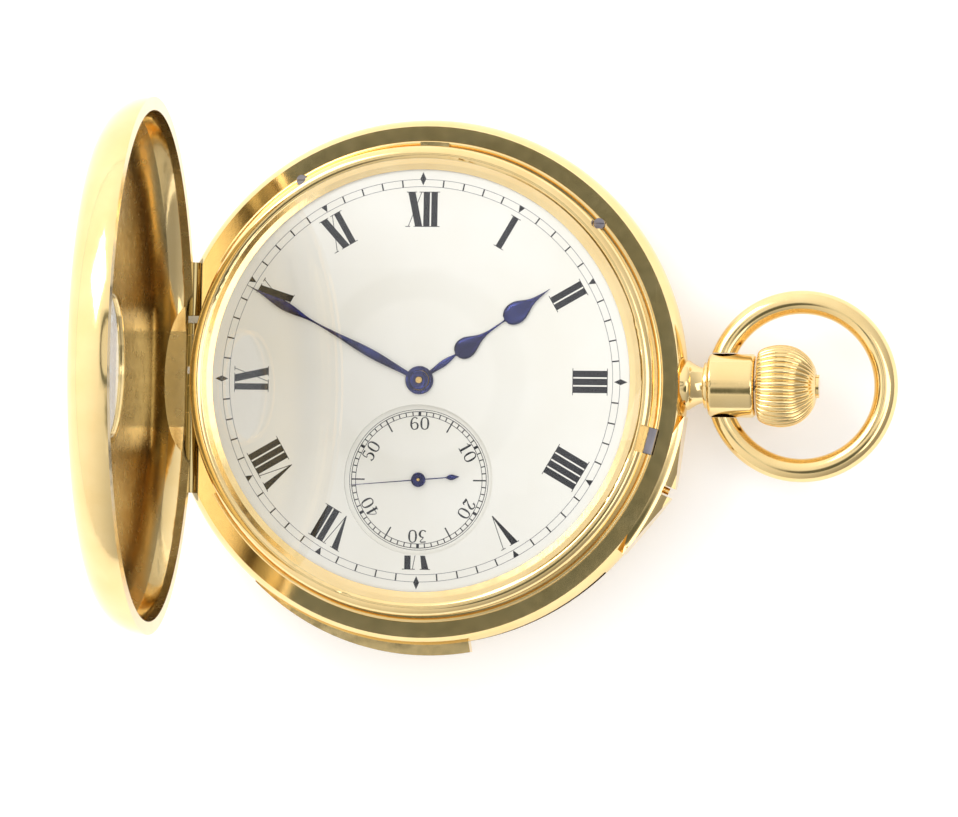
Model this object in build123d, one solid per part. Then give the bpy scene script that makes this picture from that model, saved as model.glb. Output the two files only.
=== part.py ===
from build123d import *
import math
import os

# A half hunter pocket watch, lying on its back with the lid open.
# Millimetres. Z runs up through the dial, X to the crown and Y to the twelve.
# The origin is on the dial axis, at the flat middle of the back.

os.makedirs("parts", exist_ok=True)

# Clearances shared by every fit
FIT = 0.01
RUN = 0.03
SLIP = 0.06
FREE = 0.2
OVER = 1.0

# Case: radii from the dial axis, heights from the back
CASE_R = 26.9
BULGE = 0.9
SEAT_R = CASE_R - BULGE
SEAT_WIDTH = 1.4
SEAT_INNER_R = SEAT_R - SEAT_WIDTH
SEAT_Z = 8.8
BACK_Z = 4.6
BEAD_INSET = 0.3
BEAD_R = SEAT_INNER_R - BEAD_INSET
BEAD_HALF = 0.2
BEAD_Z = 9.45
COLLAR_STEP = 0.25
COLLAR_R = BEAD_R - COLLAR_STEP
COLLAR_Z = 9.2
WALL = 4.95
LEDGE_R = CASE_R - WALL
LEDGE_Z = 7.9
CUVETTE_SEAT_Z = 2.6
BACK_WALL = 2.7
CUVETTE_SEAT_R = CASE_R - BACK_WALL

# Covers
SHELL = 0.55
SHOULDER = 4.2
LID_DEPTH = 5.1
LID_SHOULDER_DROP = 4.9
LID_RIM_WIDTH = 1.3
LID_RIM_INNER_R = SEAT_R - LID_RIM_WIDTH
LID_RIM_HIGH = 0.8
LID_OPEN = 86.0
BACK_SHOULDER_DROP = 4.8
BACK_FLAT_R = 12.0
WINDOW_R = 7.2
WINDOW_SEAT = 0.4
WINDOW_BOSS = 1.1
WINDOW_GLASS = 0.35
WINDOW_RING = 0.2

# Lid hinge along a chord of the case
HINGE_INSET = 2.9
HINGE_X = HINGE_INSET - CASE_R
HINGE_R = 0.7
HINGE_PIN_R = 0.28
HINGE_ENDS = (12.0, 4.5, 1.3, -0.7, -3.45, -11.7)
HINGE_STRIP = 0.5

# Back and cuvette hinges
BACK_HINGE_INSET = 0.5
BACK_HINGE_X = BACK_HINGE_INSET - CASE_R
BACK_HINGE_R = 0.5
BACK_HINGE_HALF = 5.0
BACK_KNUCKLE_HALF = 1.8
CUVETTE_ROOM = 0.6
CUVETTE_R = CUVETTE_SEAT_R - CUVETTE_ROOM
CUVETTE_THICK = 0.5
CUVETTE_HINGE_INSET = 3.9
CUVETTE_HINGE_X = CUVETTE_HINGE_INSET - CASE_R
CUVETTE_HINGE_R = 0.35
CUVETTE_HINGE_HALF = 3.5
CUVETTE_KNUCKLE_HALF = 1.3
SMALL_PIN_R = 0.18

# Bezel and crystal
BEZEL_R = COLLAR_R - FREE
BEZEL_CREST_INSET = 0.55
BEZEL_CREST_R = BEZEL_R - BEZEL_CREST_INSET
BEZEL_CREST_Z = 11.45
BEZEL_CROWN = 0.15
BEZEL_WIDTH = 2.45
BEZEL_SIGHT_R = BEZEL_R - BEZEL_WIDTH
BEZEL_SLOPE = 0.6
BEZEL_SEAT_R = BEZEL_SIGHT_R + BEZEL_SLOPE
BEZEL_SEAT_Z = 11.05
BEZEL_WALL = 1.35
BEZEL_BORE_R = BEZEL_R - BEZEL_WALL
CRYSTAL_HOLD = 0.05
CRYSTAL_R = BEZEL_BORE_R + CRYSTAL_HOLD
CRYSTAL_EDGE = 0.3
CRYSTAL_RISE = 1.3
CRYSTAL_THICK = 0.55
LIP_AT = 87.7
LIP_SPAN = 7.0
LIP_HIGH = 0.3
LIP_PROUD = 0.5

# Catch in the notch of the rim
CATCH_AT = -14.0
CATCH_WIDTH = 2.6
CATCH_INSET = 0.3
CATCH_R = COLLAR_R - CATCH_INSET
CATCH_THICK = 0.8
CATCH_LOW = 7.7
CATCH_HIGH = 9.9
CATCH_NOTCH_R = CATCH_R - CATCH_THICK
CATCH_NOTCH_FLOOR = 7.6

# Fly spring behind the hinge
FLY_INSET = 0.75
FLY_R = LEDGE_R + FLY_INSET
FLY_THICK = 0.45
FLY_LOW = 8.0
FLY_HIGH = 9.0
FLY_TIP_LOW = 9.14
FLY_TIP_HIGH = 9.45
FLY_TIP_REACH = 0.4
FLY_TIP_X = HINGE_X - FLY_TIP_REACH
FLY_TIP_WIDTH = 0.7
FLY_FROM = 160.0
FLY_TO = 190.0
SLOT_END_DEGREES = 1.0
FLY_TIPS_Y = (6.1, 0.9)

# Dog screws
DOG_AT = (41.9, 122.0)
DOG_R = COLLAR_R
DOG_HEAD_R = 0.56
DOG_HEAD = 0.65
DOG_SHANK_R = 0.28
DOG_SHANK = 1.2
SLOT_WIDTH = 0.16
SLOT_DEPTH = 0.25

# Pendant, bow and crown along X
PENDANT_Z = 6.2
NECK_R = 2.55
NECK_TIP_R = 1.75
NECK_DEEP = 4.0
NECK_IN = CASE_R - NECK_DEEP
NECK_SUNK = 0.7
NECK_FACE = CASE_R - NECK_SUNK
SPIGOT_R = 1.6
NECK_LONG = 1.6
NECK_OUT = CASE_R + NECK_LONG
SLEEVE_R = 3.25
FLANGE_LONG = 0.4
SLEEVE_IN = NECK_OUT + FLANGE_LONG
SLEEVE_LONG = 4.8
SLEEVE_OUT = SLEEVE_IN + SLEEVE_LONG
SLEEVE_EDGE = 0.35
FLANGE_R = 2.35
BUSH_R = 1.2
BUSH_SUNK = 0.5
BUSH_IN = NECK_IN + BUSH_SUNK
BOW_PIVOT_AT = 2.2
BOW_PIVOT_X = SLEEVE_IN + BOW_PIVOT_AT
BOW_RING_R = 8.5
BOW_WIRE_R = 1.2
BOW_END_BACK = 0.65
BOW_REACH = math.sqrt(BOW_RING_R ** 2 - SLEEVE_R ** 2) - BOW_END_BACK
BOW_RING_X = BOW_PIVOT_X + BOW_REACH
BOW_PIN_R = 0.8
BOW_PIN_IN = 2.3
BOW_PIN_HOLD = 0.6
CROWN_ROOM = 0.15
CROWN_IN = SLEEVE_OUT + CROWN_ROOM
CROWN_LONG = 6.0
CROWN_OUT = CROWN_IN + CROWN_LONG
CROWN_R = 4.2
CROWN_FOOT_R = 3.4
CROWN_END_R = 1.9
CROWN_FLUTES = 36
FLUTE_R = 0.2
BUTTON_R = 1.2
BUTTON_PROUD = 0.25
BUTTON_DEEP = 1.0
BUTTON_TRAVEL = 0.5
STEM_R = 0.5
STEM_IN = 15.6
STEM_GRIP = 3.0

# Repeater slide, setting pin and its guards on the band
SLIDE_FROM = 230.0
SLIDE_TO = 280.6
SLIDE_TRAVEL = 33.0
SLIDE_PROUD = 1.0
SLIDE_R = CASE_R + SLIDE_PROUD
SLIDE_SHIFT = 2.6
SLIDE_SUNK = 1.5
SLIDE_FOOT_R = CASE_R - SLIDE_SUNK
SLIDE_LOW = 5.9
SLIDE_HIGH = 7.5
GUARD_AT = -23.4
GUARD_PROUD = 1.15
GUARD_R = CASE_R + GUARD_PROUD
GUARD_GAP = 1.0
SET_PIN_R = 0.35
SET_PIN_Z = 6.6
SET_PIN_IN = NECK_IN
SET_PIN_PROUD = 0.45
SET_PIN_OUT = CASE_R + SET_PIN_PROUD

# Plates and dial
PLATE_ROOM = 0.1
PLATE_R = LEDGE_R - PLATE_ROOM
PLATE_FLANGE = 0.6
FLANGE_PLATE_R = LEDGE_R + PLATE_FLANGE
FLANGE_THICK = 0.6
MAIN_LOW = 7.3
MAIN_HIGH = 8.9
RIM_WALL = 0.85
RIM_R = PLATE_R - RIM_WALL
TOP_PLATE_INSET = 1.85
TOP_PLATE_R = PLATE_R - TOP_PLATE_INSET
TOP_LOW = 3.2
TOP_HIGH = 4.6
DIAL_ROOM = 0.25
DIAL_R = CRYSTAL_R - DIAL_ROOM
DIAL_LOW = 10.2
DIAL_TOP = 10.7
DIAL_BORE_R = 1.15
SECONDS_Y = -10.05
SUNK_ROOM = 2.45
SUNK_R = -SECONDS_Y - SUNK_ROOM
SUNK_RIM = 0.3
SUNK_THICK = 0.25
PILLAR_AT = (12.0, 92.0, 175.0, 215.0, 262.0)
PILLAR_INSET = 1.5
PILLAR_RING_R = TOP_PLATE_R - PILLAR_INSET
PILLAR_R = 1.0
SCREW_HEAD_R = 0.95
SCREW_HEAD = 0.4
SCREW_R = 0.4
SCREW_DEEP = 3.0

# Jewels and pivots
JEWEL_R = 0.6
JEWEL_THICK = 0.4
PIVOT_R = 0.14
ARBOR_R = 0.32

# Going train: teeth and modules
BARREL_TEETH = 80
CENTRE_LEAVES = 10
BARREL_MODULE = 0.2
CENTRE_TEETH = 75
THIRD_LEAVES = 10
CENTRE_MODULE = 0.18
THIRD_TEETH = 80
FOURTH_LEAVES = 10
THIRD_MODULE = 0.155
FOURTH_TEETH = 80
ESCAPE_LEAVES = 8
FOURTH_MODULE = 0.125
BARREL_AT = 50.0
ESCAPE_AT = -75.5

# Tooth form: shares of the module in depth and of the pitch in width
TIP_SHARE = 0.85
ROOT_SHARE = 1.2
TOOTH_SHARES = (0.25, 0.2, 0.08)

# Going train: heights
BARREL_LOW = 5.35
BARREL_HIGH = 7.15
BARREL_WALL = 0.3
BARREL_TEETH_LOW = 6.3
BARREL_TEETH_HIGH = 6.8
BARREL_ARBOR_R = 1.5
BARREL_SHAFT_R = 0.7
MAINSPRING_TURNS = 9
MAINSPRING_WIDTH = 0.18
CENTRE_LOW = 4.75
CENTRE_HIGH = 5.1
THIRD_LOW = 6.0
THIRD_HIGH = 6.3
FOURTH_LOW = 5.4
FOURTH_HIGH = 5.65
ESCAPE_LOW = 6.5
ESCAPE_HIGH = 6.7
PINION_LOW = 5.3
THIRD_PINION_HIGH = 5.2
SPOKES = 5
RIM_MODULES = 5.0
SPOKE_WIDTH = 0.6
HUB_R = 0.9

# Escapement
ESCAPE_TEETH = 15
ESCAPE_R = 3.0
ESCAPE_ROOT_R = 2.35
LEVER_X = 4.2
LEVER_Y = -13.4
LEVER_LOW = 6.45
LEVER_HIGH = 6.75
LEVER_WIDTH = 0.55
PALLET_REACH = 0.2
BALANCE_X = 8.2
BALANCE_Y = -10.0
BALANCE_R = 6.2
BALANCE_RIM = 0.7
BALANCE_LOW = 3.75
BALANCE_HIGH = 4.45
BALANCE_BITE_R = 6.75
STAFF_R = 0.35
ROLLER_R = 0.9
BALANCE_SCREWS = 14
BALANCE_SCREW_R = 0.22
BALANCE_SCREW_PROUD = 0.3
HAIRSPRING_IN = 0.75
HAIRSPRING_OUT = 3.3
HAIRSPRING_TURNS = 6
HAIRSPRING_WIDTH = 0.1
HAIRSPRING_LOW = 3.32
HAIRSPRING_HIGH = 3.52
COCK_LOW = 2.6
COCK_AT_X = 16.3
COCK_AT_Y = -7.06
COCK_FOOT_R = 1.9
COCK_NOSE_R = 1.7
LEVER_COCK_LOW = 4.75
LEVER_COCK_HIGH = 5.25
LEVER_COCK_WIDTH = 1.1
LEVER_FOOT_X = 8.6
LEVER_FOOT_Y = -17.4

# Keyless work on the outer side of the top plate
RATCHET_TEETH = 42
CROWN_WHEEL_TEETH = 28
KEYLESS_MODULE = 0.3
KEYLESS_LOW = 2.62
KEYLESS_HIGH = 3.12
FACE_TEETH = 20
FACE_R = 3.45
FACE_WIDTH = 0.9
FACE_TOP = 4.28
FACE_TOOTH = 0.45
PINION_TEETH = 12
PINION_FROM = 16.75
PINION_LONG = 1.0
CLICK_AT = 150.0
CLICK_LEAN = 16.0
CLICK_REACH = 2.0
CLICK_R = 0.8
CLICK_POST_R = 0.35
CROWN_POST_R = 1.24

# Motion work under the dial
CANNON_LEAVES = 12
MINUTE_TEETH = 36
MINUTE_LEAVES = 12
HOUR_TEETH = 48
CANNON_MODULE = 0.16
HOUR_MODULE = 0.128
SETTING_TEETH = 24
MOTION_LOW = 9.05
MOTION_HIGH = 9.35
HOUR_LOW = 9.5
HOUR_HIGH = 9.8
CANNON_BORE_R = 0.36
CANNON_R = 0.62
HOUR_TUBE_R = 1.0

# Hands
HAND_THICK = 0.12
HOUR_HAND_Z = 10.86
MINUTE_HAND_Z = 11.1
SECONDS_HAND_Z = 10.45
MINUTE_HAND_ROOM = 1.1
MINUTE_HAND_LONG = BEZEL_SIGHT_R - MINUTE_HAND_ROOM
HOUR_HAND_SHARE = 0.793
HOUR_HAND_LONG = MINUTE_HAND_LONG * HOUR_HAND_SHARE
SECONDS_HAND_ROOM = 0.65
SECONDS_HAND_LONG = SUNK_R - SECONDS_HAND_ROOM
SECONDS_TAIL_SHARE = 0.604
SECONDS_TAIL_LONG = SECONDS_HAND_LONG * SECONDS_TAIL_SHARE
HOUR_HUB_R = 1.44
MINUTE_HUB_R = 0.95
SECONDS_HUB_R = 0.7
HOUR_SPADE_WIDTH = 2.2
MINUTE_SWELL_WIDTH = 0.95
SECONDS_WIDTH = 0.3
HAND_STALK = 0.3
# where each hand is wide and narrow, as shares of its length
HOUR_SPADE_SHARES = ((0.27, 0.365, 0.52), (0.62, 0.75, 1.0))
MINUTE_SWELL_SHARES = ((0.1, 0.29, 0.6), (0.5, 0.79, 1.0))
SECONDS_TAIL_SHARES = (0.3, 0.75, 1.0)
HOUR_HAND_AT = 54.7
MINUTE_HAND_AT = 298.0
SECONDS_HAND_AT = 265.0

# Repeating work
GONG_INSET = 1.0
GONG_R = PLATE_R - GONG_INSET
GONG_WIRE_R = 0.25
GONG_HEIGHTS = (3.65, 4.25)
GONG_BLOCK_AT = 82.0
GONG_HOLD = 0.5
GONG_BLOCK_OUT = GONG_R + GONG_HOLD
GONG_BLOCK_LONG = 2.65
GONG_BLOCK_IN = GONG_BLOCK_OUT - GONG_BLOCK_LONG
GONG_BLOCK_WIDTH = 3.0
GONG_ARC = 340.0
HAMMER_AT = (108.0, 138.0)
HAMMER_SPREAD = 20.0
HAMMER_INSET = 1.9
HAMMER_HEAD_RING_R = GONG_R - HAMMER_INSET
HAMMER_LEAN = 1.95
HAMMER_PIVOT_R = HAMMER_HEAD_RING_R - HAMMER_LEAN
HAMMER_HEAD_R = 1.3
HAMMER_THICK = 0.45
HAMMER_POST_R = 0.4
HAMMER_EYE_R = 0.85
HAMMER_ARM = 1.0
HAMMER_CUT_ROOM = 2.2
HAMMER_CUT_IN = HAMMER_PIVOT_R - HAMMER_CUT_ROOM
HAMMER_CUT_FROM = 99.0
HAMMER_CUT_TO = 166.0


def polar(radius, degrees, centre=(0, 0)):
    """A point at a radius and an angle from +X."""
    angle = math.radians(degrees)
    return (centre[0] + radius * math.cos(angle), centre[1] + radius * math.sin(angle))


def meet(first, first_radius, second, second_radius, side):
    """Where two circles cross, on the left of the line from the first to the second for side 1."""
    dx = second[0] - first[0]
    dy = second[1] - first[1]
    span = math.hypot(dx, dy)
    along = (first_radius ** 2 - second_radius ** 2 + span ** 2) / (2 * span)
    across = side * math.sqrt(first_radius ** 2 - along ** 2)
    return (
        first[0] + (along * dx - across * dy) / span,
        first[1] + (along * dy + across * dx) / span,
    )


def disc(radius, low, high, centre=(0, 0)):
    """An upright cylinder between two heights."""
    return Pos(centre[0], centre[1], (low + high) / 2) * Cylinder(radius, high - low)


def ring(outer, inner, low, high, centre=(0, 0)):
    """An upright tube between two heights."""
    return disc(outer, low, high, centre) - disc(inner, low - OVER, high + OVER, centre)


def x_rod(radius, start, end, z=PENDANT_Z, y=0):
    """A cylinder along X."""
    return Pos((start + end) / 2, y, z) * Rot(0, 90, 0) * Cylinder(radius, end - start)


def y_rod(radius, start, end, x, z):
    """A cylinder along Y."""
    return Pos(x, (start + end) / 2, z) * Rot(90, 0, 0) * Cylinder(radius, abs(end - start))


def turned(outline, axis=Axis.Z):
    """An outline of (radius, height) points or edges turned about an axis."""
    face = make_face(Plane.XZ * outline)
    return revolve(face, axis)


def sector(outer, inner, low, high, start, end):
    """A piece of a tube between two angles."""
    arc_out = CenterArc((0, 0), outer, start, end - start)
    arc_in = CenterArc((0, 0), inner, start, end - start)
    sides = Line(arc_in @ 0, arc_out @ 0) + Line(arc_in @ 1, arc_out @ 1)
    face = make_face(arc_out + arc_in + sides)
    return Pos(0, 0, low) * extrude(face, high - low)


def radial_box(degrees, inner, outer, width, low, high):
    """A box that points outwards at an angle."""
    box = Pos((inner + outer) / 2, 0, (low + high) / 2) * Box(outer - inner, width, high - low)
    return Rot(0, 0, degrees) * box


def bar(start, end, width, low, high):
    """A flat bar with square ends between two points."""
    dx = end[0] - start[0]
    dy = end[1] - start[1]
    box = Box(math.hypot(dx, dy), width, high - low)
    middle = Pos((start[0] + end[0]) / 2, (start[1] + end[1]) / 2, (low + high) / 2)
    return middle * Rot(0, 0, math.degrees(math.atan2(dy, dx))) * box


def slotted(radius, low, high, slot_low, centre):
    """A screw head with its slot."""
    head = disc(radius, low, high, centre)
    slot = Pos(centre[0], centre[1], slot_low) * Box(3 * radius, SLOT_WIDTH, 2 * SLOT_DEPTH)
    return head - slot


def pitch_radius(teeth, module):
    return teeth * module / 2


def toothed(teeth, module, low, high, centre, toward, inner=0):
    """A toothed wheel with one tooth centred on the angle toward."""
    middle = pitch_radius(teeth, module)
    radii = (middle - ROOT_SHARE * module, middle, middle + TIP_SHARE * module)
    pitch = 360 / teeth
    points = []
    for tooth in range(teeth):
        turn = toward + tooth * pitch
        left = [polar(r, turn - s * pitch) for r, s in zip(radii, TOOTH_SHARES)]
        right = [polar(r, turn + s * pitch) for r, s in zip(radii, TOOTH_SHARES)]
        points += left + right[::-1]
    face = make_face(Polyline(*points, close=True))
    wheel = Pos(centre[0], centre[1], low) * extrude(face, high - low)
    if inner:
        wheel -= disc(inner, low - OVER, high + OVER, centre)
    return wheel


def spoked(teeth, module, low, high, centre, toward, bore):
    """A toothed rim on spokes and a hub."""
    rim_inner = pitch_radius(teeth, module) - RIM_MODULES * module
    wheel = toothed(teeth, module, low, high, centre, toward, rim_inner)
    wheel += disc(HUB_R, low, high, centre)
    for spoke in range(SPOKES):
        end = polar(rim_inner + module, toward + spoke * 360 / SPOKES, centre)
        wheel += bar(centre, end, SPOKE_WIDTH, low, high)
    return wheel - disc(bore, low - OVER, high + OVER, centre)


def arbor(centre, low, high, radius=ARBOR_R):
    """A shaft with a thin pivot in the jewels of both plates."""
    shaft = disc(radius, TOP_HIGH + SLIP, MAIN_LOW - SLIP, centre)
    return shaft + disc(PIVOT_R, low, high, centre)


def half_pitch(teeth):
    return 180 / teeth


def cover_solid(flat, drop, wall, rim):
    """A solid cover, apex at height zero and rim up, shrunk inwards by a wall."""
    edge = SEAT_R - SHOULDER
    reach = edge - flat
    dome = (reach ** 2 + drop ** 2 - SHOULDER ** 2) / (2 * (drop - SHOULDER))
    lean = math.asin(reach / (dome - SHOULDER))
    end = math.acos((drop - rim) / (SHOULDER - wall))

    def on(centre, length, angle):
        return (centre[0] + length * math.sin(angle), centre[1] - length * math.cos(angle))

    crest = on((flat, dome), dome - wall, 0)
    touch = on((flat, dome), dome - wall, lean)
    lip = on((edge, drop), SHOULDER - wall, end)
    outline = ThreePointArc(crest, on((flat, dome), dome - wall, lean / 2), touch)
    outline += ThreePointArc(touch, on((edge, drop), SHOULDER - wall, (lean + end) / 2), lip)
    outline += Line(lip, (0, lip[1])) + Line((0, lip[1]), (0, wall))
    if flat:
        outline += Line((0, wall), crest)
    return turned(outline)


CENTRE = (0, 0)
FOURTH = (0, SECONDS_Y)
THIRD = meet(
    CENTRE,
    pitch_radius(CENTRE_TEETH + THIRD_LEAVES, CENTRE_MODULE),
    FOURTH,
    pitch_radius(THIRD_TEETH + FOURTH_LEAVES, THIRD_MODULE),
    -1,
)
BARREL = polar(pitch_radius(BARREL_TEETH + CENTRE_LEAVES, BARREL_MODULE), BARREL_AT)
ESCAPE = polar(pitch_radius(FOURTH_TEETH + ESCAPE_LEAVES, FOURTH_MODULE), ESCAPE_AT, FOURTH)
LEVER = (LEVER_X, LEVER_Y)
BALANCE = (BALANCE_X, BALANCE_Y)
CROWN_WHEEL_REACH = pitch_radius(RATCHET_TEETH + CROWN_WHEEL_TEETH, KEYLESS_MODULE)
CROWN_WHEEL = (BARREL[0] + math.sqrt(CROWN_WHEEL_REACH ** 2 - BARREL[1] ** 2), 0)
MINUTE_WHEEL = (pitch_radius(CANNON_LEAVES + MINUTE_TEETH, CANNON_MODULE), 0)
SETTING_WHEEL = (MINUTE_WHEEL[0] + pitch_radius(MINUTE_TEETH + SETTING_TEETH, CANNON_MODULE), 0)
CROWN_WHEEL_R = pitch_radius(CROWN_WHEEL_TEETH, KEYLESS_MODULE)
RATCHET_TIP_R = pitch_radius(RATCHET_TEETH, KEYLESS_MODULE) + KEYLESS_MODULE
PINION_MODULE = 2 * FACE_R / FACE_TEETH
HINGE_Z = SEAT_Z
CUVETTE_HINGE_Z = CUVETTE_SEAT_Z - CUVETTE_HINGE_R + SLIP
HINGE_LOW = HINGE_ENDS[-1]
HINGE_HIGH = HINGE_ENDS[0]


def direction(start, end):
    return math.degrees(math.atan2(end[1] - start[1], end[0] - start[0]))


def span_box(x_from, x_to, y_from, y_to, low, high):
    """A box given by its faces."""
    middle = Pos((x_from + x_to) / 2, (y_from + y_to) / 2, (low + high) / 2)
    return middle * Box(abs(x_to - x_from), abs(y_to - y_from), high - low)


def save(name, shape):
    """Write one sub-part, turned into plain solids."""
    solids = list(shape.solids()) if not isinstance(shape, list) else shape
    export_step(Compound(children=solids) if len(solids) > 1 else solids[0], f"parts/{name}.step")
    print(name, len(solids))


# Case band with its hinge tubes


def lid_knuckles(first):
    """Lengths of the lid hinge tube, every second one from the first."""
    pairs = list(zip(HINGE_ENDS[:-1], HINGE_ENDS[1:]))
    return [(high - RUN, low + RUN) for high, low in pairs[first::2]]


def outer_spans(knuckle, half):
    """Where the two outer tubes of a small hinge lie along Y."""
    return [(knuckle + RUN, half), (-half, -knuckle - RUN)]


def small_hinge_tubes(x, z, radius, web_x, web_z, spans):
    """Tubes of a small hinge along Y, each with a web to what carries it."""
    tubes = Part()
    for start, end in spans:
        tubes += y_rod(radius, start, end, x, z)
        tubes += span_box(min(x, web_x), max(x, web_x), start, end, min(z, web_z), max(z, web_z))
    return tubes


def band_ring():
    """The turned section of the band."""
    bulge_z = (BACK_Z + SEAT_Z) / 2
    bore = FLANGE_PLATE_R + SLIP
    edge = SEAT_R + SLIP
    bead_low = BEAD_Z - BEAD_HALF
    outline = Polyline(
        (edge, SEAT_Z),
        (BEAD_R + BEAD_HALF, SEAT_Z),
        (BEAD_R + BEAD_HALF, bead_low),
    )
    outline += ThreePointArc(
        (BEAD_R + BEAD_HALF, bead_low), (BEAD_R, BEAD_Z), (BEAD_R - BEAD_HALF, bead_low)
    )
    outline += Polyline(
        (BEAD_R - BEAD_HALF, bead_low),
        (COLLAR_R, COLLAR_Z),
        (bore, COLLAR_Z),
        (bore, LEDGE_Z),
        (LEDGE_R, LEDGE_Z),
        (LEDGE_R, CUVETTE_SEAT_Z),
        (CUVETTE_SEAT_R, CUVETTE_SEAT_Z),
        (CUVETTE_SEAT_R, BACK_Z),
        (edge, BACK_Z),
    )
    outline += ThreePointArc((edge, BACK_Z), (CASE_R, bulge_z), (edge, SEAT_Z))
    return turned(outline)


def guards():
    """A swelling of the band with two flat flanks, split where the setting pin comes out."""
    edge = SEAT_R + SLIP
    outline = Line((edge, SEAT_Z), (edge, BACK_Z))
    outline += ThreePointArc((edge, BACK_Z), (GUARD_R, (BACK_Z + SEAT_Z) / 2), (edge, SEAT_Z))
    reach = math.degrees(math.acos(CASE_R / GUARD_R))
    corners = [polar(radius, GUARD_AT + turn * reach) for radius, turn in zip(
        (SEAT_INNER_R, CASE_R, GUARD_R, CASE_R), (0, -1, 0, 1)
    )]
    flanks = extrude(make_face(Polyline(*corners, close=True)), SEAT_Z)
    gap = radial_box(GUARD_AT, CASE_R - SLIP, GUARD_R + OVER, GUARD_GAP, BACK_Z, SEAT_Z)
    return (turned(outline) & flanks) - gap


def fly_tip(y, margin):
    """One tip of the fly spring at a place along Y, grown by a margin."""
    half = FLY_TIP_WIDTH / 2 + margin
    inner_x = -math.sqrt(FLY_R ** 2 - y ** 2) + margin
    low = FLY_TIP_LOW - margin
    return span_box(FLY_TIP_X - margin, inner_x, y - half, y + half, low, FLY_TIP_HIGH + margin)


def fly_tips(margin):
    return Part() + [fly_tip(y, margin) for y in FLY_TIPS_Y]


def case_band():
    band = band_ring() + guards()
    # hinge seat of the lid: a step outside the tube and a groove under it
    step_low = HINGE_Z - HINGE_R - SLIP * 2
    band -= span_box(-CASE_R - OVER, HINGE_X, HINGE_LOW, HINGE_HIGH, step_low, BEAD_Z + OVER)
    band -= y_rod(HINGE_R + SLIP, HINGE_LOW, HINGE_HIGH, HINGE_X, HINGE_Z)
    inside = HINGE_X + HINGE_R + 2 * SLIP
    start, end = (180 - math.degrees(math.asin(y / BEAD_R)) for y in (HINGE_HIGH, HINGE_LOW))
    band -= sector(CASE_R + OVER, BEZEL_R + SLIP, HINGE_Z, BEAD_Z + OVER, start, end)
    band -= span_box(HINGE_X, inside, HINGE_LOW, HINGE_HIGH, HINGE_Z, BEAD_Z + OVER)
    for high, low in lid_knuckles(0):
        band += y_rod(HINGE_R, low, high, HINGE_X, HINGE_Z)
        band += span_box(
            HINGE_X - HINGE_R / 2, HINGE_X + HINGE_R / 2, low, high, step_low - SLIP, HINGE_Z
        )
    # tubes of the back and cuvette hinges
    band -= y_rod(BACK_HINGE_R + SLIP, -BACK_HINGE_HALF, BACK_HINGE_HALF, BACK_HINGE_X, BACK_Z)
    band += small_hinge_tubes(
        BACK_HINGE_X,
        BACK_Z,
        BACK_HINGE_R,
        BACK_HINGE_X + BACK_HINGE_R,
        BACK_Z + 2 * BACK_HINGE_R,
        outer_spans(BACK_KNUCKLE_HALF, BACK_HINGE_HALF),
    )
    band -= y_rod(
        CUVETTE_HINGE_R + SLIP,
        -CUVETTE_HINGE_HALF,
        CUVETTE_HINGE_HALF,
        CUVETTE_HINGE_X,
        CUVETTE_HINGE_Z,
    )
    band += small_hinge_tubes(
        CUVETTE_HINGE_X,
        CUVETTE_HINGE_Z,
        CUVETTE_HINGE_R,
        CUVETTE_HINGE_X + CUVETTE_HINGE_R / 2,
        CUVETTE_SEAT_Z + CUVETTE_HINGE_R,
        outer_spans(CUVETTE_KNUCKLE_HALF, CUVETTE_HINGE_HALF),
    )
    # pins
    band -= y_rod(HINGE_PIN_R + FIT, HINGE_LOW - OVER, HINGE_HIGH + OVER, HINGE_X, HINGE_Z)
    band -= y_rod(
        SMALL_PIN_R + FIT, -BACK_HINGE_HALF - OVER, BACK_HINGE_HALF + OVER, BACK_HINGE_X, BACK_Z
    )
    band -= y_rod(
        SMALL_PIN_R + FIT,
        -CUVETTE_HINGE_HALF - OVER,
        CUVETTE_HINGE_HALF + OVER,
        CUVETTE_HINGE_X,
        CUVETTE_HINGE_Z,
    )
    # fly spring, catch, screws, pendant, setting pin and slide
    band -= sector(
        FLY_R + FLY_THICK + SLIP, LEDGE_R, FLY_LOW - SLIP, COLLAR_Z + OVER, FLY_FROM - SLOT_END_DEGREES, FLY_TO + SLOT_END_DEGREES
    )
    band -= fly_tips(SLIP)
    band -= radial_box(
        CATCH_AT,
        CATCH_NOTCH_R,
        SEAT_INNER_R + SLIP,
        CATCH_WIDTH + 2 * SLIP,
        CATCH_NOTCH_FLOOR,
        BEAD_Z + OVER,
    )
    for degrees in DOG_AT:
        spot = polar(DOG_R, degrees)
        band -= disc(DOG_HEAD_R + SLIP, COLLAR_Z, BEAD_Z + OVER, spot)
        band -= disc(DOG_SHANK_R + FIT, COLLAR_Z - DOG_SHANK - SLIP, COLLAR_Z + SLIP, spot)
    band -= x_rod(SPIGOT_R + FIT, LEDGE_R - OVER, CASE_R + OVER)
    band -= x_rod(NECK_R + FIT, NECK_FACE - FIT, CASE_R + OVER)
    pin_way = x_rod(SET_PIN_R + RUN, LEDGE_R - OVER, GUARD_R + OVER, SET_PIN_Z)
    band -= Rot(0, 0, GUARD_AT) * pin_way
    band -= sector(
        SLIDE_R + OVER,
        SLIDE_FOOT_R - SLIP,
        SLIDE_LOW - SLIP,
        SLIDE_HIGH + SLIP,
        SLIDE_FROM - SLOT_END_DEGREES,
        SLIDE_TO + SLIDE_TRAVEL + SLOT_END_DEGREES,
    )
    return band


# Lid


def opened(shape):
    """Swing a shape of the closed lid to the open lid of the photograph."""
    there = Pos(HINGE_X, 0, HINGE_Z) * Rot(0, -LID_OPEN, 0) * Pos(-HINGE_X, 0, -HINGE_Z)
    return there * shape


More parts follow.
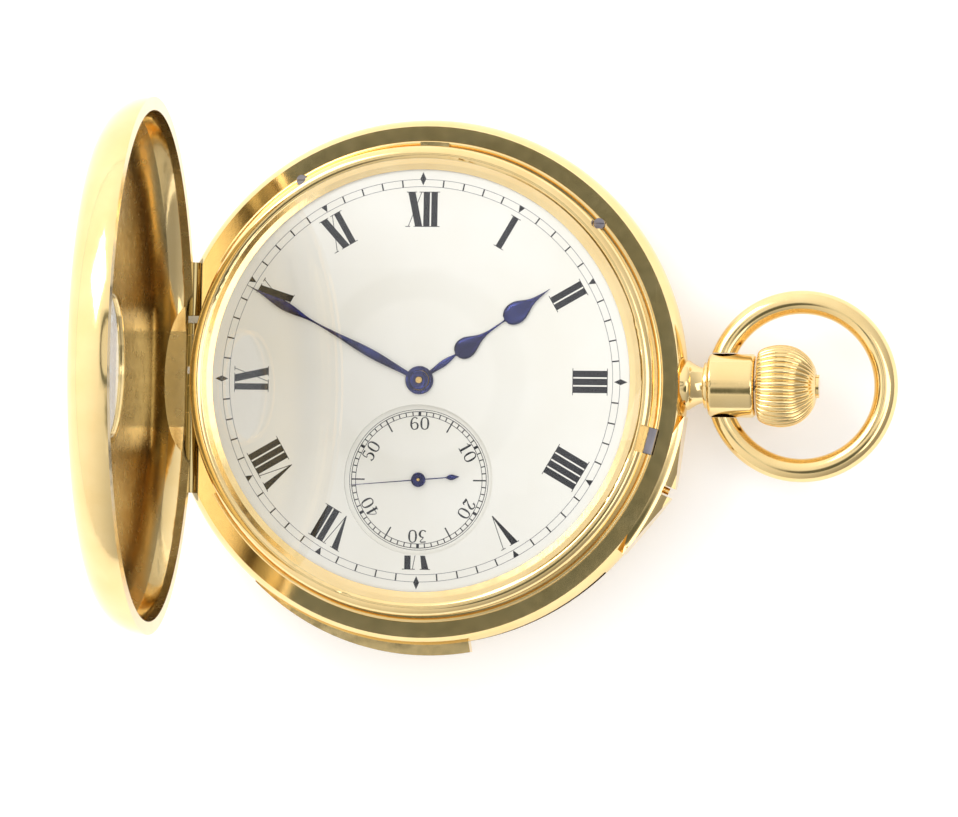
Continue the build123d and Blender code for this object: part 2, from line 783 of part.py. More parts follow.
def over_dial(shape):
    """Turn a bowl with its apex at the origin over, onto the seat ring."""
    return Pos(0, 0, SEAT_Z + RUN + LID_DEPTH) * Rot(180, 0, 0) * shape


def lid_bowl():
    """The lid as a bowl with its apex at the origin."""
    outside = cover_solid(0, LID_SHOULDER_DROP, 0, LID_DEPTH)
    bowl = outside - cover_solid(0, LID_SHOULDER_DROP, SHELL, LID_DEPTH)
    rim_low = LID_DEPTH - LID_RIM_HIGH
    bowl += outside & ring(SEAT_R + OVER, LID_RIM_INNER_R, rim_low, LID_DEPTH)
    boss_high = WINDOW_SEAT + WINDOW_GLASS + WINDOW_RING
    bowl += disc(WINDOW_R + WINDOW_BOSS, WINDOW_SEAT, boss_high)
    bowl -= disc(WINDOW_R, -OVER, boss_high + OVER)
    return bowl - disc(WINDOW_R + WINDOW_SEAT, WINDOW_SEAT, boss_high + OVER)


def lid_shell():
    lid = over_dial(lid_bowl())
    outside = over_dial(cover_solid(0, LID_SHOULDER_DROP, 0, LID_DEPTH))
    chord = HINGE_X - HINGE_R - SLIP
    strip_low = HINGE_Z + HINGE_R + SLIP
    top = SEAT_Z + LID_DEPTH
    lid -= span_box(-SEAT_R - OVER, chord, -SEAT_R, SEAT_R, HINGE_Z - OVER, top)
    lid -= span_box(chord - OVER, HINGE_X, HINGE_LOW, HINGE_HIGH, HINGE_Z - OVER, strip_low)
    wall = span_box(chord, chord + HINGE_STRIP, HINGE_LOW, HINGE_HIGH, strip_low, top)
    lid += wall & outside
    lid -= y_rod(HINGE_R + SLIP, HINGE_LOW - OVER, HINGE_HIGH + OVER, HINGE_X, HINGE_Z)
    for high, low in lid_knuckles(1):
        lid += y_rod(HINGE_R, low, high, HINGE_X, HINGE_Z)
        lid += span_box(chord, chord + HINGE_STRIP, low, high, HINGE_Z, strip_low + SLIP)
    lid -= y_rod(HINGE_PIN_R + RUN, HINGE_LOW - OVER, HINGE_HIGH + OVER, HINGE_X, HINGE_Z)
    return opened(lid)


def lid_window_glass():
    glass_r = WINDOW_R + WINDOW_SEAT - FIT
    return opened(over_dial(disc(glass_r, WINDOW_SEAT, WINDOW_SEAT + WINDOW_GLASS)))


def lid_window_ring():
    low = WINDOW_SEAT + WINDOW_GLASS
    outer = WINDOW_R + WINDOW_SEAT - FIT
    return opened(over_dial(ring(outer, WINDOW_R - WINDOW_RING, low, low + WINDOW_RING)))


# Back cover and cuvette


def back_cover():
    rim = BACK_Z - RUN
    cover = cover_solid(BACK_FLAT_R, BACK_SHOULDER_DROP, 0, rim)
    cover -= cover_solid(BACK_FLAT_R, BACK_SHOULDER_DROP, SHELL, rim)
    half = BACK_HINGE_HALF + SLIP
    cover -= y_rod(BACK_HINGE_R + SLIP, -half, half, BACK_HINGE_X, BACK_Z)
    cover += small_hinge_tubes(
        BACK_HINGE_X,
        BACK_Z,
        BACK_HINGE_R,
        -SEAT_R + SHELL / 2,
        BACK_Z - BACK_HINGE_R,
        [(-BACK_KNUCKLE_HALF, BACK_KNUCKLE_HALF)],
    )
    return cover - y_rod(SMALL_PIN_R + RUN, -half, half, BACK_HINGE_X, BACK_Z)


def cuvette():
    high = CUVETTE_SEAT_Z - SLIP
    low = high - CUVETTE_THICK
    edge = CUVETTE_HINGE_X + CUVETTE_HINGE_R + SLIP
    half = CUVETTE_HINGE_HALF + SLIP
    plate = disc(CUVETTE_R, low, high)
    for end, across in ((CUVETTE_HINGE_X, CUVETTE_R), (edge, half)):
        plate -= span_box(-CUVETTE_R - OVER, end, -across, across, low - OVER, high + OVER)
    plate += small_hinge_tubes(
        CUVETTE_HINGE_X,
        CUVETTE_HINGE_Z,
        CUVETTE_HINGE_R,
        edge + SLIP,
        low,
        [(-CUVETTE_KNUCKLE_HALF, CUVETTE_KNUCKLE_HALF)],
    )
    return plate - y_rod(SMALL_PIN_R + RUN, -half, half, CUVETTE_HINGE_X, CUVETTE_HINGE_Z)


# Bezel and crystal


def bezel():
    top = BEZEL_SEAT_Z + CRYSTAL_EDGE
    low = DIAL_TOP + SLIP
    seat_r = CRYSTAL_R + FIT
    outline = Polyline(
        (seat_r, top),
        (seat_r, BEZEL_SEAT_Z),
        (BEZEL_SEAT_R, BEZEL_SEAT_Z),
        (BEZEL_SIGHT_R, low + BEZEL_CROWN),
        (BEZEL_SIGHT_R, low),
        (BEZEL_BORE_R, low),
        (BEZEL_BORE_R, COLLAR_Z),
        (BEZEL_R, COLLAR_Z),
        (BEZEL_R, low),
    )
    outline += ThreePointArc((BEZEL_R, low), (BEZEL_CREST_R, BEZEL_CREST_Z), (seat_r, top))
    body = turned(outline)
    lip_low = BEAD_Z + FREE
    half = LIP_SPAN / 2
    body += sector(
        BEZEL_R + LIP_PROUD, BEZEL_BORE_R, lip_low, lip_low + LIP_HIGH, LIP_AT - half, LIP_AT + half
    )
    body -= y_rod(HINGE_R + SLIP, HINGE_LOW, HINGE_HIGH, HINGE_X, HINGE_Z)
    body -= fly_tips(SLIP)
    under = COLLAR_Z - OVER
    over = BEZEL_CREST_Z + OVER
    body -= radial_box(CATCH_AT, CATCH_NOTCH_R, SEAT_R, CATCH_WIDTH + 2 * SLIP, under, over)
    for degrees in DOG_AT:
        body -= disc(DOG_HEAD_R + SLIP, under, over, polar(DOG_R, degrees))
    return body


def crystal():
    low = BEZEL_SEAT_Z
    top = low + CRYSTAL_EDGE

    def arched(height, rise):
        """A point at the given share of the radius on a shallow dome."""
        return [(CRYSTAL_R * s, height + rise * (1 - s * s)) for s in (0, math.sqrt(1 / 2), 1)]

    under = arched(low, CRYSTAL_RISE)
    over = arched(top, CRYSTAL_RISE + CRYSTAL_THICK - CRYSTAL_EDGE)
    outline = ThreePointArc(*under) + ThreePointArc(*over)
    outline += Line(under[2], over[2]) + Line(under[0], over[0])
    return turned(outline)


# Small case parts


def lock_spring():
    """The catch: a leg in the notch with a beak for the rim of the lid."""
    leg_out = CATCH_R + CATCH_THICK / 2
    beak_out = CATCH_R + CATCH_THICK
    leg = radial_box(CATCH_AT, CATCH_R, leg_out, CATCH_WIDTH, CATCH_LOW, CATCH_HIGH)
    return leg + radial_box(CATCH_AT, CATCH_R, beak_out, CATCH_WIDTH, SEAT_Z, CATCH_HIGH - SLIP)


def fly_spring():
    leaf = sector(FLY_R + FLY_THICK, FLY_R, FLY_LOW, FLY_HIGH, FLY_FROM, FLY_TO)
    for y in FLY_TIPS_Y:
        half = FLY_TIP_WIDTH / 2
        outer_x = -math.sqrt((FLY_R + FLY_THICK) ** 2 - (abs(y) + half) ** 2)
        inner_x = -math.sqrt(FLY_R ** 2 - y ** 2)
        leaf += fly_tip(y, 0)
        leaf += span_box(outer_x, inner_x, y - half, y + half, FLY_HIGH - FREE, FLY_TIP_HIGH)
    return leaf


def dog_screws():
    screws = []
    for degrees in DOG_AT:
        spot = polar(DOG_R, degrees)
        head = slotted(DOG_HEAD_R, COLLAR_Z, COLLAR_Z + DOG_HEAD, COLLAR_Z + DOG_HEAD, spot)
        screws.append(head + disc(DOG_SHANK_R, COLLAR_Z - DOG_SHANK, COLLAR_Z, spot))
    return screws


def x_turned(points):
    """A closed outline of (x, radius) points turned about the pendant axis."""
    face = make_face(Plane.XZ * Polyline(*points, close=True))
    return Pos(0, 0, PENDANT_Z) * revolve(face, Axis.X)


def pendant():
    """Neck, flange and the sleeve that carries the bow."""
    body = x_turned(
        [
            (NECK_IN, 0),
            (NECK_IN, SPIGOT_R),
            (NECK_FACE, SPIGOT_R),
            (NECK_FACE, NECK_R),
            (CASE_R, NECK_R),
            (NECK_OUT, NECK_TIP_R),
            (NECK_OUT, FLANGE_R),
            (SLEEVE_IN, FLANGE_R),
            (SLEEVE_IN, SLEEVE_R - SLEEVE_EDGE),
            (SLEEVE_IN + SLEEVE_EDGE, SLEEVE_R),
            (SLEEVE_OUT - SLEEVE_EDGE, SLEEVE_R),
            (SLEEVE_OUT, SLEEVE_R - SLEEVE_EDGE),
            (SLEEVE_OUT, 0),
        ]
    )
    body -= x_rod(BUSH_R + FIT, NECK_IN - OVER, SLEEVE_OUT + OVER)
    for side in (-1, 1):
        inner = side * (BOW_PIN_IN - SLIP)
        outer = side * (SLEEVE_R + OVER)
        body -= y_rod(BOW_PIN_R + RUN, inner, outer, BOW_PIVOT_X, PENDANT_Z)
    return body


def stem_bush():
    bush = x_rod(BUSH_R, BUSH_IN, SLEEVE_OUT - SLIP)
    return bush - x_rod(STEM_R + RUN, BUSH_IN - OVER, SLEEVE_OUT + OVER)


def bow():
    """A ring whose flat ends stand on the sleeve, on pins in its two holes."""
    foot = SLEEVE_R + RUN
    end = math.degrees(math.pi - math.asin(SLEEVE_R / BOW_RING_R))
    wire = CenterArc((BOW_RING_X, 0), BOW_RING_R, -end, 2 * end)
    section = Plane(origin=wire @ 0, z_dir=wire % 0) * Circle(BOW_WIRE_R)
    body = sweep(section, path=wire)
    body -= span_box(BOW_PIVOT_X - BOW_REACH, BOW_RING_X, -foot, foot, -BOW_REACH, BOW_REACH)
    body = Pos(0, 0, PENDANT_Z) * body
    for side in (-1, 1):
        inner = side * BOW_PIN_IN
        outer = side * (foot + BOW_PIN_HOLD)
        body += y_rod(BOW_PIN_R, inner, outer, BOW_PIVOT_X, PENDANT_Z)
    return body


def crown():
    """A fluted onion on the stem, bored for the button."""
    foot = CROWN_IN + SLEEVE_EDGE
    middle = (CROWN_IN + CROWN_OUT) / 2
    outline = Polyline((CROWN_IN, 0), (CROWN_IN, CROWN_FOOT_R), (foot, CROWN_FOOT_R))
    outline += ThreePointArc((foot, CROWN_FOOT_R), (middle, CROWN_R), (CROWN_OUT, CROWN_END_R))
    outline += Polyline((CROWN_OUT, CROWN_END_R), (CROWN_OUT, 0), (CROWN_IN, 0))
    body = revolve(make_face(Plane.XZ * outline), Axis.X)
    flute = Rot(0, 90, 0) * Cylinder(FLUTE_R, CROWN_OUT - foot)
    flutes = [
        Rot(turn * 360 / CROWN_FLUTES, 0, 0) * Pos((foot + CROWN_OUT) / 2, 0, CROWN_R) * flute
        for turn in range(CROWN_FLUTES)
    ]
    body = Pos(0, 0, PENDANT_Z) * (body - flutes)
    body -= x_rod(BUTTON_R + RUN, CROWN_OUT - BUTTON_DEEP - BUTTON_TRAVEL, CROWN_OUT + OVER)
    return body - x_rod(STEM_R + FIT, CROWN_IN - OVER, CROWN_IN + STEM_GRIP)


def crown_button():
    return x_rod(BUTTON_R, CROWN_OUT - BUTTON_DEEP + SLIP, CROWN_OUT + BUTTON_PROUD)


def winding_stem():
    return x_rod(STEM_R, STEM_IN, CROWN_IN + STEM_GRIP)


def repeater_slide():
    """A slide in the band that swells towards the end that the thumb pushes."""
    whole = sector(SLIDE_R + OVER, SLIDE_FOOT_R, SLIDE_LOW, SLIDE_HIGH, SLIDE_FROM, SLIDE_TO)
    middle = polar(SLIDE_SHIFT, SLIDE_TO)
    return whole & disc(SLIDE_R - SLIDE_SHIFT, SLIDE_LOW, SLIDE_HIGH, middle)


def set_pin():
    return Rot(0, 0, GUARD_AT) * x_rod(SET_PIN_R, SET_PIN_IN, SET_PIN_OUT, SET_PIN_Z)


# Plates, pillars, jewels and screws


def gong_block():
    low = GONG_HEIGHTS[0] - 2 * GONG_WIRE_R
    block = radial_box(
        GONG_BLOCK_AT, GONG_BLOCK_IN, GONG_BLOCK_OUT, GONG_BLOCK_WIDTH, low, MAIN_LOW
    )
    for height in GONG_HEIGHTS:
        block -= Pos(0, 0, height) * Torus(GONG_R, GONG_WIRE_R + FIT)
    return block


def gongs():
    wires = []
    for height in GONG_HEIGHTS:
        arc = Pos(0, 0, height) * CenterArc((0, 0), GONG_R, GONG_BLOCK_AT, GONG_ARC)
        section = Plane(origin=arc @ 0, z_dir=arc % 0) * Circle(GONG_WIRE_R)
        wires.append(sweep(section, path=arc))
    return wires


def hammer_spots(degrees):
    return polar(HAMMER_PIVOT_R, degrees + HAMMER_SPREAD), polar(HAMMER_HEAD_RING_R, degrees)


PLATE_JEWELS = [
    (CENTRE, PIVOT_R),
    (THIRD, PIVOT_R),
    (FOURTH, PIVOT_R),
    (ESCAPE, PIVOT_R),
]
MAIN_JEWELS = [
    (CENTRE, ARBOR_R),
    (THIRD, PIVOT_R),
    (FOURTH, PIVOT_R),
    (ESCAPE, PIVOT_R),
    (LEVER, PIVOT_R),
    (BALANCE, PIVOT_R),
]


def jewels():
    stones = []
    for spot, bore in PLATE_JEWELS:
        stones.append(ring(JEWEL_R, bore + RUN, TOP_HIGH - JEWEL_THICK, TOP_HIGH, spot))
    for spot, bore in MAIN_JEWELS:
        stones.append(ring(JEWEL_R, bore + RUN, MAIN_LOW, MAIN_LOW + JEWEL_THICK, spot))
    stones.append(ring(JEWEL_R, PIVOT_R + RUN, COCK_LOW, COCK_LOW + JEWEL_THICK, BALANCE))
    return stones


def pillar_spots():
    return [polar(PILLAR_RING_R, degrees) for degrees in PILLAR_AT]


def mainplate():
    plate = disc(PLATE_R, MAIN_LOW, MAIN_HIGH)
    plate += disc(FLANGE_PLATE_R, LEDGE_Z, LEDGE_Z + FLANGE_THICK)
    plate += ring(PLATE_R, RIM_R, MAIN_HIGH, DIAL_LOW)
    # lug that guides the stem, and posts of the wheels and hammers
    lug_out = GONG_R - GONG_WIRE_R - FREE * 2
    lug_in = PINION_FROM + PINION_LONG + FREE * 2
    plate += span_box(lug_in, lug_out, -2 * STEM_R, 2 * STEM_R, PENDANT_Z - 2 * STEM_R, MAIN_LOW)
    plate -= x_rod(STEM_R + RUN, lug_in - OVER, lug_out + OVER)
    plate += disc(CROWN_POST_R, COCK_LOW + FREE, MAIN_LOW, CROWN_WHEEL)
    for spot in (MINUTE_WHEEL, SETTING_WHEEL):
        plate += disc(CANNON_BORE_R, MAIN_HIGH, HOUR_HIGH, spot)
    for degrees in HAMMER_AT:
        plate += disc(HAMMER_POST_R, TOP_LOW, MAIN_LOW, hammer_spots(degrees)[0])
    # room for the winding pinion, bores for pivots and screws
    pinion_r = FACE_R * PINION_TEETH / FACE_TEETH + PINION_MODULE + FREE
    room_high = min(PENDANT_Z + pinion_r, MAIN_HIGH - FREE)
    room_from = PINION_FROM - FREE
    room_to = PINION_FROM + PINION_LONG + FREE
    plate -= span_box(room_from, room_to, -pinion_r, pinion_r, MAIN_LOW - OVER, room_high)
    for spot, bore in MAIN_JEWELS:
        plate -= disc(JEWEL_R + FIT, MAIN_LOW - OVER, MAIN_LOW + JEWEL_THICK, spot)
        plate -= disc(bore + 2 * RUN, MAIN_LOW, MAIN_HIGH + OVER, spot)
    plate -= disc(CANNON_R + SLIP, MAIN_HIGH - FREE, MAIN_HIGH + OVER, CENTRE)
    return plate - disc(BARREL_SHAFT_R + RUN, MAIN_LOW - OVER, MAIN_HIGH - FREE, BARREL)


def three_quarter_plate():
    plate = disc(TOP_PLATE_R, TOP_LOW, TOP_HIGH)
    low = TOP_LOW - OVER
    high = TOP_HIGH + OVER
    plate -= disc(BALANCE_BITE_R, low, high, BALANCE)
    mouth = polar(TOP_PLATE_R + OVER, direction(CENTRE, BALANCE))
    plate -= bar(BALANCE, mouth, BALANCE_BITE_R, low, high)
    plate -= disc(FACE_R + FACE_WIDTH / 2 + FREE, low, high, CROWN_WHEEL)
    slot_half = FACE_R * 2 / 3
    slot_to = PINION_FROM + PINION_LONG + FREE
    plate -= span_box(CROWN_WHEEL[0], slot_to, -slot_half, slot_half, low, high)
    beyond = TOP_PLATE_R + OVER
    plate -= sector(beyond, HAMMER_CUT_IN, low, high, HAMMER_CUT_FROM, HAMMER_CUT_TO)
    block_width = GONG_BLOCK_WIDTH + 2 * FREE
    plate -= radial_box(GONG_BLOCK_AT, GONG_BLOCK_IN - FREE, beyond, block_width, low, high)
    click = polar(RATCHET_TIP_R + CLICK_REACH, CLICK_AT, BARREL)
    plate += disc(CLICK_POST_R, KEYLESS_LOW, TOP_LOW, click)
    for spot, bore in PLATE_JEWELS:
        plate -= disc(JEWEL_R + FIT, TOP_HIGH - JEWEL_THICK, high, spot)
        plate -= disc(bore + 2 * RUN, low, high, spot)
    plate -= disc(BARREL_SHAFT_R + RUN, low, high, BARREL)
    for spot in pillar_spots():
        plate -= disc(SCREW_R + RUN, low, high, spot)
    return plate - disc(SCREW_R + RUN, low, high, cock_foot())


def cock_foot():
    return (COCK_AT_X, COCK_AT_Y)


def pillars():
    posts = []
    for spot in pillar_spots():
        post = disc(PILLAR_R, TOP_HIGH, MAIN_LOW, spot)
        posts.append(post - disc(SCREW_R + RUN, TOP_HIGH - OVER, TOP_LOW + SCREW_DEEP, spot))
    return posts


def plate_screws():
    screws = []
    for spot in pillar_spots():
        head = slotted(SCREW_HEAD_R, TOP_LOW - SCREW_HEAD, TOP_LOW, TOP_LOW - SCREW_HEAD, spot)
        screws.append(head + disc(SCREW_R, TOP_LOW, TOP_LOW + SCREW_DEEP - RUN, spot))
    return screws


def cock_screw():
    """Let into the foot of the balance cock, flush with its face."""
    head = slotted(SCREW_HEAD_R, COCK_LOW, COCK_LOW + SCREW_HEAD, COCK_LOW, cock_foot())
    return head + disc(SCREW_R, COCK_LOW + SCREW_HEAD, TOP_HIGH - RUN, cock_foot())


def balance_cock():
    cock = disc(COCK_FOOT_R, COCK_LOW, TOP_LOW, cock_foot())
    cock += disc(COCK_NOSE_R, COCK_LOW, TOP_LOW, BALANCE)
    cock += bar(cock_foot(), BALANCE, 2 * COCK_NOSE_R - FREE, COCK_LOW, TOP_LOW)
    stud = (BALANCE[0] + HAIRSPRING_OUT + SLIP + BALANCE_SCREW_R, BALANCE[1])
    cock += disc(BALANCE_SCREW_R, TOP_LOW - FREE, HAIRSPRING_HIGH, stud)
    cock += bar(BALANCE, stud, BALANCE_RIM, COCK_LOW, TOP_LOW)
    cock -= disc(SCREW_HEAD_R + SLIP, COCK_LOW - OVER, COCK_LOW + SCREW_HEAD, cock_foot())
    cock -= disc(SCREW_R + RUN, COCK_LOW - OVER, TOP_LOW + OVER, cock_foot())
    cock -= disc(JEWEL_R + FIT, COCK_LOW - OVER, COCK_LOW + JEWEL_THICK, BALANCE)
    return cock - disc(PIVOT_R + 2 * RUN, COCK_LOW, TOP_LOW + OVER, BALANCE)


def lever_cock():
    foot = (LEVER_FOOT_X, LEVER_FOOT_Y)
    cock = disc(LEVER_COCK_WIDTH, LEVER_COCK_LOW, MAIN_LOW, foot)
    cock += bar(foot, LEVER, LEVER_COCK_WIDTH, LEVER_COCK_LOW, LEVER_COCK_HIGH)
    cock += disc(JEWEL_R + FREE, LEVER_COCK_LOW, LEVER_COCK_HIGH, LEVER)
    return cock - disc(PIVOT_R + RUN, LEVER_COCK_LOW - OVER, LEVER_COCK_HIGH + OVER, LEVER)


# Springs wound in half turns


def spiral(inner, outer, turns, width, low, high, centre):
    """A strip wound from an inner to an outer radius in half turns of steady growth."""
    pitch = (outer - inner) / turns
    sides = []
    for offset in (-width / 2, width / 2):
        chain = Curve()
        for half in range(2 * turns):
            shift = pitch / 2 * (half % 2)
            radius = inner + half * pitch / 2 + offset
            chain += CenterArc((shift, 0), radius, 180 * (half % 2), 180)
        sides.append(chain)
    near = Line((inner - width / 2, 0), (inner + width / 2, 0))
    far = Line((outer - width / 2, 0), (outer + width / 2, 0))
    face = make_face(sides[0] + sides[1] + near + far)
    return Pos(centre[0], centre[1], low) * extrude(face, high - low)


def hairspring():
    return spiral(
        HAIRSPRING_IN + FREE / 2,
        HAIRSPRING_OUT,
        HAIRSPRING_TURNS,
        HAIRSPRING_WIDTH,
        HAIRSPRING_LOW,
        HAIRSPRING_HIGH,
        BALANCE,
    )


def drum_radius():
    return pitch_radius(BARREL_TEETH, BARREL_MODULE) - 2 * ROOT_SHARE * BARREL_MODULE


def mainspring():
    outer = drum_radius() - BARREL_WALL - MAINSPRING_WIDTH / 2 - SLIP
    inner = BARREL_ARBOR_R + MAINSPRING_WIDTH / 2 + SLIP
    low = BARREL_LOW + BARREL_WALL + SLIP
    high = BARREL_HIGH - BARREL_WALL - SLIP
    return spiral(inner, outer, MAINSPRING_TURNS, MAINSPRING_WIDTH, low, high, BARREL)


def barrel():
    drum = disc(drum_radius(), BARREL_LOW, BARREL_HIGH, BARREL)
    toward = BARREL_AT + 180
    drum += toothed(BARREL_TEETH, BARREL_MODULE, BARREL_TEETH_LOW, BARREL_TEETH_HIGH, BARREL, toward)
    low = BARREL_LOW + BARREL_WALL
    drum -= disc(drum_radius() - BARREL_WALL, low, BARREL_HIGH - BARREL_WALL, BARREL)
    return drum - disc(BARREL_SHAFT_R + RUN, BARREL_LOW - OVER, BARREL_HIGH + OVER, BARREL)


def barrel_arbor():
    low = BARREL_LOW + BARREL_WALL + SLIP
    core = disc(BARREL_ARBOR_R, low, BARREL_HIGH - BARREL_WALL - SLIP, BARREL)
    return core + disc(BARREL_SHAFT_R, COCK_LOW, MAIN_HIGH - FREE - SLIP, BARREL)


# Wheels of the train


def centre_wheel():
    aim = direction(CENTRE, THIRD)
    wheel = spoked(CENTRE_TEETH, CENTRE_MODULE, CENTRE_LOW, CENTRE_HIGH, CENTRE, aim, ARBOR_R)
    leaves_at = BARREL_AT + half_pitch(CENTRE_LEAVES)
    low = BARREL_TEETH_LOW - FREE / 2
    high = BARREL_TEETH_HIGH + FREE / 2
    wheel += toothed(CENTRE_LEAVES, BARREL_MODULE, low, high, CENTRE, leaves_at)
    wheel += disc(ARBOR_R, TOP_HIGH + SLIP, MINUTE_HAND_Z + 2 * HAND_THICK, CENTRE)
    return wheel + disc(PIVOT_R, TOP_LOW, TOP_HIGH + FREE, CENTRE)


def third_wheel():
    aim = direction(THIRD, FOURTH)
    wheel = spoked(THIRD_TEETH, THIRD_MODULE, THIRD_LOW, THIRD_HIGH, THIRD, aim, ARBOR_R)
    leaves_at = direction(THIRD, CENTRE) + half_pitch(THIRD_LEAVES)
    low = TOP_HIGH + SLIP
    wheel += toothed(THIRD_LEAVES, CENTRE_MODULE, low, THIRD_PINION_HIGH, THIRD, leaves_at)
    return wheel + arbor(THIRD, TOP_LOW, MAIN_LOW + JEWEL_THICK)


def fourth_wheel():
    aim = direction(FOURTH, ESCAPE)
    wheel = spoked(FOURTH_TEETH, FOURTH_MODULE, FOURTH_LOW, FOURTH_HIGH, FOURTH, aim, ARBOR_R)
    leaves_at = direction(FOURTH, THIRD) + half_pitch(FOURTH_LEAVES)
    low = THIRD_LOW - FREE / 2
    high = THIRD_HIGH + FREE / 2
    wheel += toothed(FOURTH_LEAVES, THIRD_MODULE, low, high, FOURTH, leaves_at)
    return wheel + arbor(FOURTH, TOP_LOW, SECONDS_HAND_Z + HAND_THICK + FREE / 2)


def escape_wheel():
    """Club teeth on a light rim."""
    points = []
    pitch = 360 / ESCAPE_TEETH
    for tooth in range(ESCAPE_TEETH):
        turn = tooth * pitch
        points.append(polar(ESCAPE_ROOT_R, turn))
        points.append(polar(ESCAPE_R, turn + pitch / 2))
        points.append(polar(ESCAPE_R, turn + pitch * 2 / 3))
        points.append(polar(ESCAPE_ROOT_R, turn + pitch * 2 / 3))
    face = make_face(Polyline(*points, close=True))
    wheel = Pos(ESCAPE[0], ESCAPE[1], ESCAPE_LOW) * extrude(face, ESCAPE_HIGH - ESCAPE_LOW)
    opening = ESCAPE_ROOT_R - SPOKE_WIDTH
    wheel -= disc(opening, ESCAPE_LOW - OVER, ESCAPE_HIGH + OVER, ESCAPE)
    wheel += disc(HUB_R * 2 / 3, ESCAPE_LOW, ESCAPE_HIGH, ESCAPE)
    for spoke in range(SPOKES):
        end = polar(opening + SPOKE_WIDTH / 2, spoke * 360 / SPOKES, ESCAPE)
        wheel += bar(ESCAPE, end, SPOKE_WIDTH / 2, ESCAPE_LOW, ESCAPE_HIGH)
    leaves_at = direction(ESCAPE, FOURTH) + half_pitch(ESCAPE_LEAVES)
    wheel += toothed(ESCAPE_LEAVES, FOURTH_MODULE, PINION_LOW, THIRD_LOW, ESCAPE, leaves_at)
    return wheel + arbor(ESCAPE, TOP_LOW, MAIN_LOW + JEWEL_THICK)


# Lever and balance


def pallet_lever():
    toward = direction(ESCAPE, LEVER)
    reach = ESCAPE_R + PALLET_REACH + LEVER_WIDTH / 2
    spread = 180 / ESCAPE_TEETH * 3
    body = disc(LEVER_WIDTH, LEVER_LOW, LEVER_HIGH, LEVER)
    for side in (-1, 1):
        tip = polar(reach, toward + side * spread, ESCAPE)
        body += bar(LEVER, tip, LEVER_WIDTH, LEVER_LOW, LEVER_HIGH)
    fork_long = math.dist(LEVER, BALANCE) - ROLLER_R - 2 * RUN
    fork = polar(fork_long, direction(LEVER, BALANCE), LEVER)
    body += bar(LEVER, fork, LEVER_WIDTH, LEVER_LOW, LEVER_HIGH)
    body -= disc(ESCAPE_R + PALLET_REACH, LEVER_LOW - OVER, LEVER_HIGH + OVER, ESCAPE)
    body -= disc(ROLLER_R + PALLET_REACH, LEVER_LOW - OVER, LEVER_HIGH + OVER, BALANCE)
    body += disc(ARBOR_R * 2 / 3, LEVER_COCK_HIGH + SLIP, MAIN_LOW - SLIP, LEVER)
    return body + disc(PIVOT_R, LEVER_COCK_LOW, MAIN_LOW + JEWEL_THICK, LEVER)


def balance_wheel():
    wheel = ring(BALANCE_R, BALANCE_R - BALANCE_RIM, BALANCE_LOW, BALANCE_HIGH, BALANCE)
    arm = BALANCE_R - BALANCE_RIM / 2
    third_high = (BALANCE_HIGH - BALANCE_LOW) / 3
    ends = [(BALANCE[0] - arm, BALANCE[1]), (BALANCE[0] + arm, BALANCE[1])]
    wheel += bar(*ends, BALANCE_RIM, BALANCE_LOW + third_high, BALANCE_HIGH - third_high)
    middle = (BALANCE_LOW + BALANCE_HIGH) / 2
    screw_end = BALANCE_R + BALANCE_SCREW_PROUD
    screw = x_rod(BALANCE_SCREW_R, arm, screw_end, middle)
    for turn in range(BALANCE_SCREWS):
        wheel += Pos(BALANCE[0], BALANCE[1], 0) * Rot(0, 0, turn * 360 / BALANCE_SCREWS) * screw
    wheel += disc(HAIRSPRING_IN, HAIRSPRING_LOW, HAIRSPRING_HIGH, BALANCE)
    wheel += disc(STAFF_R, HAIRSPRING_LOW, MAIN_LOW - SLIP, BALANCE)
    wheel += disc(ROLLER_R, LEVER_LOW, LEVER_HIGH, BALANCE)
    return wheel + disc(PIVOT_R, COCK_LOW, MAIN_LOW + JEWEL_THICK, BALANCE)


# Keyless work


def winding_pinion():
    pinion = toothed(PINION_TEETH, PINION_MODULE, 0, PINION_LONG, CENTRE, 0, STEM_R + FIT)
    return Pos(PINION_FROM, 0, PENDANT_Z) * Rot(0, 90, 0) * pinion


def crown_wheel():
    aim = direction(CROWN_WHEEL, BARREL)
    wheel = toothed(CROWN_WHEEL_TEETH, KEYLESS_MODULE, KEYLESS_LOW, KEYLESS_HIGH, CROWN_WHEEL, aim)
    inner = FACE_R - FACE_WIDTH / 2
    outer = FACE_R + FACE_WIDTH / 2
    pitch_z = PENDANT_Z - FACE_R * PINION_TEETH / FACE_TEETH
    base = pitch_z - PINION_MODULE - SLIP
    wheel += ring(outer, inner, KEYLESS_HIGH, base, CROWN_WHEEL)
    for tooth in range(FACE_TEETH):
        turn = (tooth + 1 / 2) * 360 / FACE_TEETH
        block = radial_box(turn, inner, outer, FACE_TOOTH, base - SLIP, FACE_TOP)
        wheel += Pos(CROWN_WHEEL[0], CROWN_WHEEL[1], 0) * block
    return wheel - disc(CROWN_POST_R + RUN, KEYLESS_LOW - OVER, FACE_TOP + OVER, CROWN_WHEEL)


def ratchet_wheel():
    aim = direction(BARREL, CROWN_WHEEL) + half_pitch(RATCHET_TEETH)
    return toothed(
        RATCHET_TEETH, KEYLESS_MODULE, KEYLESS_LOW, KEYLESS_HIGH, BARREL, aim, BARREL_SHAFT_R + FIT
    )


